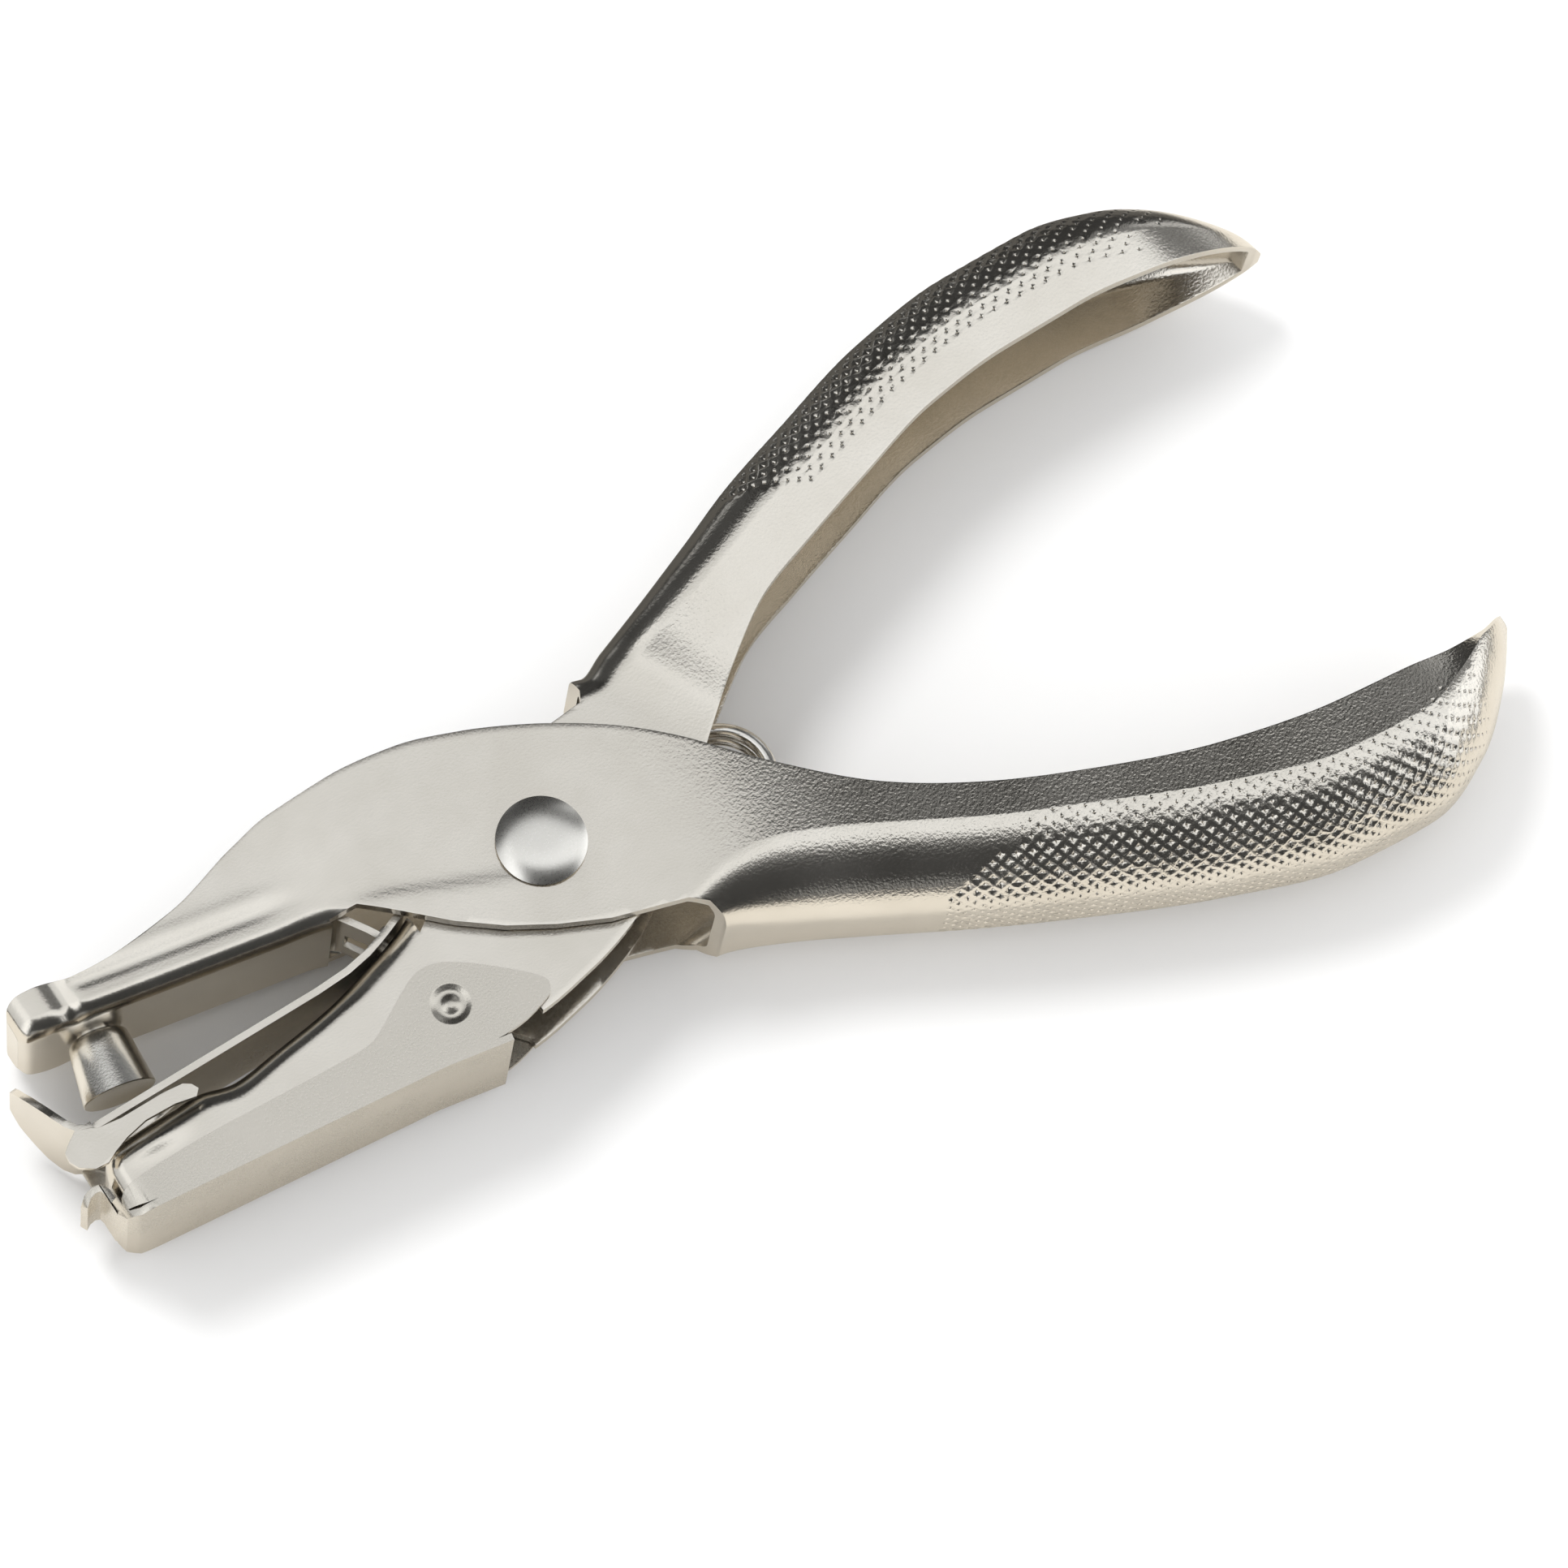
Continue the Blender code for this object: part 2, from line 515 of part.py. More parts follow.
def make_catcher(metal):
    rear = LIP_HALF - THIN / 2
    bend = [(-5.0, rear)] + corner_arc(1, CATCH_CORNER)
    bend = bend + corner_arc(-1, CATCH_CORNER)[::-1] + [(-5.0, -rear)]
    catcher = prism("chip_catcher", thick_line(bend, THIN), -13.0, -3.0, "Y")
    combine(catcher, prism("side", PLATE, -9.0, 9.0), "INTERSECT")
    floor = prism("floor", thick_line(FLOOR_LINE, THIN), -LIP_HALF, LIP_HALF)
    for side in (-1, 1):
        ends = sorted((side * CATCH_TAB_HALF, side * 9.0))
        trim = [(-50.0, CATCH_WALL_TOP), (-50.0, -3.0), (-44.0, -3.0), (-44.0, CATCH_WALL_TOP)]
        cut(floor, prism("trim", trim, *ends))
        outside = corner_arc(side, CATCH_CORNER + THIN / 2)[:-1]
        outside += [(-45.5, side * CATCH_TAB_HALF), (-47.7, side * CATCH_TIP_HALF)]
        outside += [(-50.0, side * CATCH_TIP_HALF), (-50.0, side * 9.0)]
        outside += [(outside[0][0], side * 9.0)]
        cut(floor, prism("outside", outside, -14.0, -3.0, "Y"))
    join(catcher, floor)
    for side in (-1, 1):
        place = (*CATCH_HINGE, side * rear)
        join(catcher, rod("boss", DIMPLE_RADIUS, place, (0, 0, -side), 1.6, 24))
    return finish(catcher, metal)


def spring_route():
    """The wire's middle line: the lower leg, the coil's turns, then the upper leg."""
    cx, cy = COIL_CENTRE
    steps = 44
    half = COIL_PITCH * COIL_SWEEP / 720.0
    coil = []
    for i in range(steps + 1):
        turn = math.radians(COIL_START - COIL_SWEEP * i / steps)
        height = half * (2 * i / steps - 1)
        coil.append((cx + COIL_RADIUS * math.cos(turn), cy + COIL_RADIUS * math.sin(turn), height))
    lower = [(x, y, -half) for x, y in LOWER_LEG[::-1]]
    upper = [(x, y, half) for x, y in UPPER_LEG]
    return lower + coil + upper


def make_spring(metal):
    curve = bpy.data.curves.new("return_spring", "CURVE")
    curve.dimensions = "3D"
    curve.bevel_depth = WIRE_RADIUS * MM
    curve.bevel_resolution = 2
    curve.use_fill_caps = True
    route = spring_route()
    line = curve.splines.new("POLY")
    line.points.add(len(route) - 1)
    for point, (x, y, z) in zip(line.points, route):
        point.co = (x * MM, y * MM, (z + MID) * MM, 1.0)
    made = bpy.data.objects.new("return_spring", curve)
    bpy.context.scene.collection.objects.link(made)
    curve.materials.append(metal)
    return made


def main():
    for old in list(bpy.data.objects):
        bpy.data.objects.remove(old)
    plated = material("plated_sheet", PLATED, 0.30)
    bright = material("bright_plate", BRIGHT, 0.22)
    steel = material("hardened_steel", DARK_STEEL, 0.35)
    make_punch_lever(plated)
    make_die_lever(plated)
    make_pivot_rivet(bright)
    make_pivot_spacer(steel)
    make_punch_pin(steel)
    make_die_bush(steel)
    make_stripper(bright)
    make_stripper_rivet(bright)
    make_catcher(bright)
    make_spring(steel)


main()
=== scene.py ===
"""The looks of a one-hole hand punch of nickel-plated pressed steel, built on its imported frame.

Shapes are built in millimetres about the pivot, whose axis is Z, with the tool's middle plane at
height 0. new_object turns them into metres and lifts them by MID, so that the tool lies on the
table. X runs from the jaws to the handles, and Y towards the upper jaw and the upper handle.
"""
import math

import bmesh
import bpy
import numpy as np
from mathutils import Matrix, Vector


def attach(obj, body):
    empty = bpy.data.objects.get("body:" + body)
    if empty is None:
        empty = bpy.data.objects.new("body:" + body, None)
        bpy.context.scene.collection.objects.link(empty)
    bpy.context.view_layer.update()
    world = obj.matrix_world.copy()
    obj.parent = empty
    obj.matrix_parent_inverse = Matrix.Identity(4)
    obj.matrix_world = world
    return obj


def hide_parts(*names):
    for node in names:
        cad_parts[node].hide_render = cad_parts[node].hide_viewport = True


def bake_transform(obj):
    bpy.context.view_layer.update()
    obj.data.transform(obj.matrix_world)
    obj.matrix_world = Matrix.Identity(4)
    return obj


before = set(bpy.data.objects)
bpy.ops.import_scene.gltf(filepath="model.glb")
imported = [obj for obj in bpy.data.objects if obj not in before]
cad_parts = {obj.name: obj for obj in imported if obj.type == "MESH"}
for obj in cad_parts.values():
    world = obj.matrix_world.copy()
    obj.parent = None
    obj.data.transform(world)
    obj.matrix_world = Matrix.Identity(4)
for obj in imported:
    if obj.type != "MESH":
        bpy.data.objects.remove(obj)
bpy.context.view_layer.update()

MM = 0.001
GAP = 0.3                   # clearance between neighbouring pieces
SHEET = 1.2                 # the levers' sheet
THIN = 0.6                  # the catcher's sheet

# Half widths across the tool, from its middle plane
CHEEK_HALF = 7.6
JAW_HALF = 6.9
GRIP_HALF = 8.6
INNER_HALF = 6.1            # the die lever between the punch lever's cheeks
HEAD_RISE = 1.1
MID = CHEEK_HALF + HEAD_RISE
THROUGH = 12.0              # half the length of what cuts right through the tool

# Pivot rivet, punch, die and strip rivet
RIVET_RADIUS = 2.5
HEAD_RADIUS = 3.8
HEAD_LAND = 1.7             # flat middle of the far head
DOME_RIM = 0.22             # share of the near head's rise that its rim has
DOME_POWER = 3.6            # how flat its middle is
WEB_TILT = 10.5             # degrees the punch leans
PIN_BASE = (-38.35, 7.2)
PIN_LENGTH = 5.5
PIN_TIP_RADIUS = 3.15
PIN_BASE_RADIUS = 2.55
STAKE_RADIUS = 1.5
DIE_CENTRE = (-38.95, -2.5)
BUSH_RADIUS = 4.0
STRIP_RIVET = (-14.2, 0.85)
STRIP_SLOPE = 22.0          # degrees the strip's rivet leans
STRIP_HOLE_RADIUS = 1.0 + GAP

# Chip catcher
LIP_HALF = 7.05             # outside of its side plates
CATCH_HINGE = (-13.6, -7.5)
CATCH_BORE_RADIUS = 1.4
CATCH_CORNER = 2.7          # bend between its front and its sides
CATCH_FRONT = -45.2         # middle of the front's sheet
CATCH_REAR = -5.0
CATCH_CLEAR = 9.0           # further across than its side plates

# Return spring
COIL_CENTRE = (16.9, -1.9)
COIL_RADIUS = 4.3
WIRE_RADIUS = 0.6
COIL_PITCH = 2.2
COIL_START = 210.0
COIL_SWEEP = 780.0
COIL_STEPS = 130

# How finely the levers are made
STATIONS = 240              # sections along a lever
INNER_STATIONS = STATIONS + 7   # along its hollow, out of step with the skin's sections
WALL_STEPS = 28             # down a side wall
BEND_STEPS = 12             # around a bend of sheet
WEB_STEPS = 4               # over half of the web
EDGE_SLACK = 3.0            # the hollow starts this far outside the open edge
END_WALL = 1.08             # sheet left at a lever's two ends
LEAST_HOLLOW = 0.8          # half width below which the ends stay solid

# Pressed diamonds
KNURL_PITCH = 1.36          # between neighbouring diamonds along a handle
PIT_DEPTH = 0.15            # a diamond's flanks go down this far
DOT_DEPTH = 0.22            # and its middle this much further
KNURL_ROWS = 18             # half pitches either side of the web's centre
KNURL_LEAST = 0.12          # a fainter diamond is left out
CUTTER_RISE = 0.05          # the cutting shapes stand this far out of the skin

# Edges and shading of a finished piece
WELD = 0.000004             # metres
BEVEL_STEPS = 3
BEVEL_ANGLE = 35.0
SHARP_ANGLE = 50.0
SPIN_STEPS = 96
SMALL_SPIN_STEPS = 48

COOL = (1.0, 1.03, 1.065)   # tint of the studio's light

# One row per section of a lever: a point on its open edge, the point of its web opposite, the
# half width at the edge, the half width at the widest, and the radius of the bend.
PUNCH_LEVER = [
    (-44.6, 10.7, -44.6, 9.1, 5.0, 5.0, 0.9),
    (-44.2, 11.4, -44.1, 8.4, 6.0, 6.0, 1.3),
    (-43.0, 11.8, -42.9, 8.0, 6.7, 6.7, 1.6),
    (-40.5, 11.5, -40.4, 7.55, JAW_HALF, JAW_HALF, 1.6),
    (-38.3, 10.8, -38.3, 7.15, JAW_HALF, JAW_HALF, 1.6),
    (-34.9, 10.6, -35.0, 6.5, JAW_HALF, JAW_HALF, 1.6),
    (-28.6, 11.2, -29.3, 5.45, JAW_HALF, JAW_HALF, 1.6),
    (-21.8, 13.1, -23.3, 4.35, JAW_HALF, JAW_HALF, 1.6),
    (-17.5, 13.9, -18.2, 3.3, 7.1, 7.1, 1.6),
    (-11.9, 14.0, -14.0, -0.6, 7.5, 7.5, 1.6),
    (-6.0, 13.3, -8.5, -6.0, CHEEK_HALF, CHEEK_HALF, 1.6),
    (-0.8, 11.6, -3.5, -9.8, CHEEK_HALF, CHEEK_HALF, 1.6),
    (5.0, 8.8, 1.5, -11.9, CHEEK_HALF, CHEEK_HALF, 1.8),
    (10.8, 5.0, 6.0, -13.0, CHEEK_HALF, 7.7, 2.6),
    (14.3, 1.9, 9.6, -13.5, CHEEK_HALF, 8.0, 4.0),
    (19.8, -4.2, 15.0, -15.9, 7.7, 8.5, 6.0),
    (26.2, -10.3, 21.5, -19.3, 7.9, GRIP_HALF, 6.3),
    (33.0, -14.7, 28.8, -23.2, 8.0, GRIP_HALF, 6.3),
    (41.0, -18.5, 36.9, -27.2, 8.05, GRIP_HALF, 6.5),
    (52.2, -22.6, 47.6, -32.0, 7.95, GRIP_HALF, 6.8),
    (62.0, -24.7, 58.2, -35.5, 7.85, GRIP_HALF, 7.0),
    (69.3, -25.4, 66.6, -36.17, 7.4, 8.2, 7.0),
    (73.6, -25.8, 72.3, -34.2, 6.3, 7.1, 6.4),
    (77.2, -25.6, 76.5, -30.8, 4.6, 5.3, 5.0),
    (79.5, -25.0, 79.0, -28.0, 2.8, 3.2, 3.0),
    (80.6, -24.7, 80.6, -26.0, 0.9, 0.9, 0.8),
]
DIE_LEVER = [
    (-44.6, -6.0, -44.6, -4.9, 4.0, 4.0, 0.9),
    (-44.2, -7.0, -44.1, -3.5, 5.3, 5.3, 1.4),
    (-43.0, -7.3, -42.9, -2.8, 6.0, 6.0, 1.8),
    (-39.0, -7.6, -39.0, -2.5, INNER_HALF, INNER_HALF, 2.0),
    (-35.0, -7.8, -35.0, -2.5, INNER_HALF, INNER_HALF, 2.0),
    (-31.5, -8.1, -31.5, -3.3, INNER_HALF, INNER_HALF, 1.8),
    (-27.0, -8.5, -27.0, -2.8, INNER_HALF, INNER_HALF, 1.6),
    (-22.0, -9.0, -22.0, -2.1, INNER_HALF, INNER_HALF, 1.6),
    (-18.0, -10.0, -18.0, -1.0, INNER_HALF, INNER_HALF, 2.0),
    (-13.5, -11.4, -12.8, 0.8, INNER_HALF, INNER_HALF, 2.0),
    (-8.0, -11.8, -8.5, 4.6, INNER_HALF, INNER_HALF, 2.0),
    (-2.0, -10.9, -3.5, 8.6, INNER_HALF, INNER_HALF, 2.0),
    (4.0, -9.0, 1.5, 10.8, INNER_HALF, INNER_HALF, 2.0),
    (10.5, -5.2, 6.0, 11.2, INNER_HALF, INNER_HALF, 2.0),
    (15.9, -0.3, 10.6, 10.7, INNER_HALF, INNER_HALF, 2.5),
    (18.5, 1.9, 13.8, 11.9, 6.2, 6.3, 2.8),
    (22.0, 4.7, 18.1, 13.4, 7.0, 7.3, 3.2),
    (27.5, 8.3, 24.4, 15.8, 7.7, 8.2, 3.6),
    (33.0, 10.2, 30.3, 18.2, 8.0, 8.5, 3.9),
    (40.0, 12.4, 37.3, 20.4, 8.1, GRIP_HALF, 4.2),
    (48.5, 14.8, 46.5, 23.0, 8.1, GRIP_HALF, 4.2),
    (56.4, 15.6, 55.4, 24.15, 8.1, GRIP_HALF, 4.2),
    (64.0, 15.6, 63.6, 24.0, 8.1, GRIP_HALF, 4.2),
    (70.5, 14.9, 69.6, 22.5, 8.0, 8.4, 3.8),
    (75.0, 14.2, 74.0, 20.4, 7.0, 7.2, 3.2),
    (78.5, 13.5, 77.6, 17.7, 5.2, 5.3, 2.4),
    (80.7, 13.0, 80.2, 15.2, 3.0, 3.0, 1.4),
    (81.6, 12.7, 81.5, 13.4, 1.0, 1.0, 0.5),
]
PUNCH_WINDOW = [
    (-18.1, -12.0), (-18.1, 3.8), (-15.6, 3.6), (-13.6, 1.8), (-9.7, -1.9), (-6.3, -4.5),
    (-2.7, -6.6), (1.4, -8.5), (5.7, -9.8), (7.6, -10.4), (9.0, -11.5), (9.6, -13.0), (9.6, -20.0),
]
WINDOW_HALF = 5.7   # half the width over which the window reaches up into the web
WINDOW_TOP = [(-18.1, -3.0), (-18.1, 6.0), (-14.0, 6.0), (-10.0, 2.0), (-10.0, -3.0)]
DIE_WINDOW = [
    (-12.3, 14.0), (-12.3, -0.9), (-8.0, 2.0), (-3.0, 5.6), (2.0, 7.8), (6.0, 8.4), (9.6, 8.7),
    (10.1, 9.6), (10.1, 14.0),
]
HINGE_NOTCH = [
    (-25.0, -10.0), (-18.0, -10.0), (-16.2, -10.9), (-13.6, -11.3), (-11.6, -10.8),
    (-9.8, -9.4), (-8.6, -9.6), (-7.4, -11.0), (-7.2, -13.0), (-25.0, -13.0),
]
PLATE = [
    (-44.9, -6.5), (-42.0, -6.2), (-36.4, -6.2), (-29.9, -6.6), (-22.6, -7.0), (-20.6, -6.9),
    (-18.9, -6.0), (-16.0, -4.3), (-14.4, -3.7), (-12.7, -3.9), (-10.8, -5.1), (-8.3, -7.2),
    (-5.8, -9.6), (-5.8, -10.6), (-6.6, -11.3), (-10.3, -12.2), (-16.6, -11.6), (-44.9, -8.7),
]
FLOOR_LINE = [
    (-47.3, -5.4), (-46.7, -4.95), (-46.0, -4.8), (-45.4, -5.0), (-45.2, -5.6), (-45.2, -7.4),
    (-44.9, -8.3), (-44.0, -8.75), (-16.6, -11.5), (-10.8, -12.5),
]
UPPER_LEG = [(16.0, 5.1), (18.5, 9.2), (24.0, 13.0), (32.0, 16.5)]
LOWER_LEG = [(16.0, -9.0), (18.5, -13.0), (26.0, -18.8), (33.0, -22.9)]


# ---- modelling tools ----

def eased(rows, places):
    """Read a table of rows as smooth curves without overshoot, at the given places."""
    table = np.array(rows, dtype=float)
    steps = np.diff(table, axis=0)
    slopes = np.zeros_like(table)
    product = steps[:-1] * steps[1:]
    total = steps[:-1] + steps[1:]
    slopes[1:-1] = np.where(product > 0, 2.0 * product / np.where(total == 0, 1.0, total), 0.0)
    slopes[0] = steps[0]
    slopes[-1] = steps[-1]
    out = []
    for place in places:
        i = min(int(place), len(table) - 2)
        t = place - i
        a = 2 * t ** 3 - 3 * t ** 2 + 1
        b = t ** 3 - 2 * t ** 2 + t
        c = 3 * t ** 2 - 2 * t ** 3
        d = t ** 3 - t ** 2
        out.append(a * table[i] + b * slopes[i] + c * table[i + 1] + d * slopes[i + 1])
    return out


def step01(low, high, value):
    """0 below low, 1 above high, and a smooth rise between."""
    t = min(1.0, max(0.0, (value - low) / (high - low)))
    return t * t * (3 - 2 * t)


def bell(value, centre, width):
    """1 at the centre, fading to nearly 0 two widths away."""
    return math.exp(-((value - centre) / width) ** 2)


def half_section(depth, edge_half, wide_half, bend, start):
    """Half of a channel's section as (half width, depth) pairs, from the open edge to the web."""
    bend = min(bend, depth * 0.92, wide_half * 0.92)
    points = []
    for step in range(WALL_STEPS + 1):
        down = start + (depth - bend - start) * step / WALL_STEPS
        swell = max(0.0, min(1.0, down / max(depth - bend, 0.01)))
        points.append((edge_half + (wide_half - edge_half) * swell, down))
    for step in range(1, BEND_STEPS + 1):
        turn = math.radians(90.0 * step / BEND_STEPS)
        wide = wide_half - bend * (1 - math.cos(turn))
        points.append((wide, depth - bend * (1 - math.sin(turn))))
    for step in range(1, WEB_STEPS + 1):
        points.append(((wide_half - bend) * (1 - step / WEB_STEPS), depth))
    return points


def lever_grid(rows, places, offset, start):
    """Rings of points for a lever's skin, and each point's distance around from the web's centre."""
    rings = []
    reaches = []
    for ex, ey, wx, wy, edge_half, wide_half, bend in eased(rows, places):
        line = Vector((wx - ex, wy - ey))
        depth = line.length
        down = line.normalized()
        half = half_section(depth - offset, edge_half - offset, wide_half - offset,
                            max(bend - offset, 0.35), start)
        ring = []
        for wide, deep in half:
            ring.append((ex + down.x * deep, ey + down.y * deep, wide))
        for wide, deep in half[-2::-1]:
            ring.append((ex + down.x * deep, ey + down.y * deep, -wide))
        rings.append(ring)
        points = np.array(ring)
        legs = np.linalg.norm(np.diff(points, axis=0), axis=1)
        reach = np.concatenate([[0.0], np.cumsum(legs)])
        reaches.append(reach - reach[len(half) - 1])
    return np.array(rings), np.array(reaches)


def grid_normals(grid):
    """Normals of a lever's skin, pointing out of the channel."""
    along = np.gradient(grid, axis=0)
    around = np.gradient(grid, axis=1)
    normals = np.cross(around, along)
    k, middle = grid.shape[0] // 2, grid.shape[1] // 2
    if np.dot(normals[k, middle], grid[k, middle] - grid[k, 0]) < 0:
        normals = -normals
    size = np.linalg.norm(normals, axis=2, keepdims=True)
    return normals / np.maximum(size, 1e-9)


def new_object(name, bm):
    """Turn a bmesh in millimetres into an object in metres."""
    bmesh.ops.recalc_face_normals(bm, faces=bm.faces)
    bm.transform(Matrix.Translation((0, 0, MID * MM)) @ Matrix.Scale(MM, 4))
    mesh = bpy.data.meshes.new(name)
    bm.to_mesh(mesh)
    bm.free()
    made = bpy.data.objects.new(name, mesh)
    bpy.context.scene.collection.objects.link(made)
    return made


def skin(name, grid):
    """A closed body through rings of points."""
    bm = bmesh.new()
    rings = []
    for ring in grid:
        rings.append([bm.verts.new(tuple(point)) for point in ring])
    count = len(rings[0])
    for near, far in zip(rings, rings[1:]):
        for i in range(count):
            j = (i + 1) % count
            bm.faces.new((near[i], near[j], far[j], far[i]))
    bm.faces.new(rings[0])
    bm.faces.new(rings[-1])
    return new_object(name, bm)


def placed(axis, first, second, along):
    """A point of an outline that is drawn across the Y or the Z axis."""
    if axis == "Y":
        return (first, along, second)
    return (first, second, along)


def prism(name, outline, low, high, axis="Z"):
    """Extrude an outline along an axis between two distances."""
    bm = bmesh.new()
    base = bm.faces.new([bm.verts.new(placed(axis, a, b, low)) for a, b in outline])
    raised = bmesh.ops.extrude_face_region(bm, geom=[base])
    top = [item for item in raised["geom"] if isinstance(item, bmesh.types.BMVert)]
    bmesh.ops.translate(bm, vec=placed(axis, 0, 0, high - low), verts=top)
    return new_object(name, bm)


def rounded(outline, times):
    """Cut the corners of a closed outline until it runs smoothly."""
    points = [Vector(p) for p in outline]
    for _ in range(times):
        finer = []
        for a, b in zip(points, points[1:] + points[:1]):
            finer.append(a * 0.75 + b * 0.25)
            finer.append(a * 0.25 + b * 0.75)
        points = finer
    return [tuple(p) for p in points]


def thick_line(line, thickness):
    """The outline of a strip of sheet seen from its edge, around its middle line."""
    points = [Vector(p) for p in line]
    left = []
    right = []
    for i, point in enumerate(points):
        before = points[max(i - 1, 0)]
        after = points[min(i + 1, len(points) - 1)]
        along = (after - before).normalized()
        normal = Vector((-along.y, along.x)) * thickness / 2
        left.append(point + normal)
        right.append(point - normal)
    return [tuple(p) for p in left + right[::-1]]


def turned(name, profile, place, axis, steps=SPIN_STEPS):
    """Spin a closed profile of (radius, height) pairs about an axis through a place."""
    bm = bmesh.new()
    corners = [bm.verts.new((radius, 0, height)) for radius, height in profile]
    edges = []
    for i, corner in enumerate(corners):
        edges.append(bm.edges.new((corner, corners[(i + 1) % len(corners)])))
    bmesh.ops.spin(bm, geom=corners + edges, axis=(0, 0, 1), cent=(0, 0, 0),
                   angle=math.tau, steps=steps, use_merge=True)
    bmesh.ops.remove_doubles(bm, verts=bm.verts, dist=0.0001)
    bmesh.ops.dissolve_degenerate(bm, dist=0.0001, edges=bm.edges)
    loose = [edge for edge in bm.edges if not edge.link_faces]
    bmesh.ops.delete(bm, geom=loose, context="EDGES")
    turn = Vector((0, 0, 1)).rotation_difference(Vector(axis)).to_matrix().to_4x4()
    bm.transform(Matrix.Translation(place) @ turn)
    return new_object(name, bm)


def rod(name, radius, place, axis, length, steps=64):
    return turned(name, [(0, 0), (radius, 0), (radius, length), (0, length)], place, axis, steps)


def across(name, radius, centre):
    """A rod along Z, right through the tool."""
    return rod(name, radius, (*centre, -THROUGH), (0, 0, 1), 2 * THROUGH)


def combine(made, other, operation):
    """Apply one exact Boolean to an object and remove the other object."""
    step = made.modifiers.new("step", "BOOLEAN")
    step.operation = operation
    step.solver = "EXACT"
    step.object = other
    depsgraph = bpy.context.evaluated_depsgraph_get()
    result = bpy.data.meshes.new_from_object(made.evaluated_get(depsgraph))
    made.modifiers.remove(step)
    old = made.data
    made.data = result
    bpy.data.meshes.remove(old)
    bpy.data.objects.remove(other)
    result.name = made.name


def cut(made, other):
    combine(made, other, "DIFFERENCE")


def join(made, other):
    combine(made, other, "UNION")


def copy_of(node, name):
    """A new object with a CAD node's shape."""
    made = bpy.data.objects.new(name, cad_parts[node].data.copy())
    bpy.context.scene.collection.objects.link(made)
    return made


def apply_modifiers(made):
    """Keep what an object's modifiers make of its mesh, and drop the modifiers."""
    depsgraph = bpy.context.evaluated_depsgraph_get()
    result = bpy.data.meshes.new_from_object(made.evaluated_get(depsgraph))
    made.modifiers.clear()
    made.data = result


def finish_piece(made, finish, body, node, edge, press=None):
    """Weld a piece, round its edges, cut the press shapes out, shade it and fix it to its body."""
    bm = bmesh.new()
    bm.from_mesh(made.data)
    bmesh.ops.remove_doubles(bm, verts=bm.verts, dist=WELD)
    bmesh.ops.dissolve_degenerate(bm, dist=WELD, edges=bm.edges)
    bm.to_mesh(made.data)
    bm.free()
    if edge:
        soften = made.modifiers.new("edges", "BEVEL")
        soften.width = edge * MM
        soften.segments = BEVEL_STEPS
        soften.limit_method = "ANGLE"
        soften.angle_limit = math.radians(BEVEL_ANGLE)
        soften.miter_outer = "MITER_ARC"
        soften.use_clamp_overlap = True
        apply_modifiers(made)
    if press:
        cut(made, press)
    made.data.materials.clear()
    made.data.materials.append(finish)
    made.data.shade_smooth()
    made.data.set_sharp_from_angle(angle=math.radians(SHARP_ANGLE))
    level = made.modifiers.new("normals", "WEIGHTED_NORMAL")
    level.mode = "FACE_AREA"
    level.weight = 60
    level.keep_sharp = True
    apply_modifiers(made)
    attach(made, body)
    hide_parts(node)


# ---- finishes ----

class Nodes:
    """A small helper to wire a material's nodes. place is the point on the object, in metres."""

    def __init__(self, name):
        self.material = bpy.data.materials.new(name)
        self.material.use_nodes = True
        self.tree = self.material.node_tree
        self.shader = self.tree.nodes["Principled BSDF"]
        self.place = self.add("ShaderNodeTexCoord").outputs["Object"]

    def add(self, kind, **settings):
        node = self.tree.nodes.new(kind)
        for key, value in settings.items():
            setattr(node, key, value)
        return node

    def link(self, source, target):
        self.tree.links.new(source, target)

    def noise(self, scale, detail=2.0, roughness=0.5):
        """Noise with this many waves to the metre."""
        node = self.add("ShaderNodeTexNoise")
        node.inputs["Scale"].default_value = scale
        node.inputs["Detail"].default_value = detail
        node.inputs["Roughness"].default_value = roughness
        self.link(self.place, node.inputs["Vector"])
        return node.outputs["Fac"]

    def spread(self, source, low, high, out_low, out_high):
        """Map low to high onto out_low to out_high, and hold the ends."""
        node = self.add("ShaderNodeMapRange")
        node.inputs["From Min"].default_value = low
        node.inputs["From Max"].default_value = high
        node.inputs["To Min"].default_value = out_low
        node.inputs["To Max"].default_value = out_high
        self.link(source, node.inputs["Value"])
        return node.outputs["Result"]

    def maths(self, operation, first, second):
        node = self.add("ShaderNodeMath", operation=operation)
        for socket, value in zip(node.inputs, (first, second)):
            if isinstance(value, (int, float)):
                socket.default_value = value
            else:
                self.link(value, socket)
        return node.outputs["Value"]


BLOTCHES = 95.0       # waves to the metre
FINE_GRAIN = 5200.0
PEEL_GRAIN = 4000.0
BUMP_HEIGHT = 0.0001  # metres
SMOOTH_UNTIL = 0.008  # the orange peel is faint before this X, in metres
PEELED_FROM = 0.020


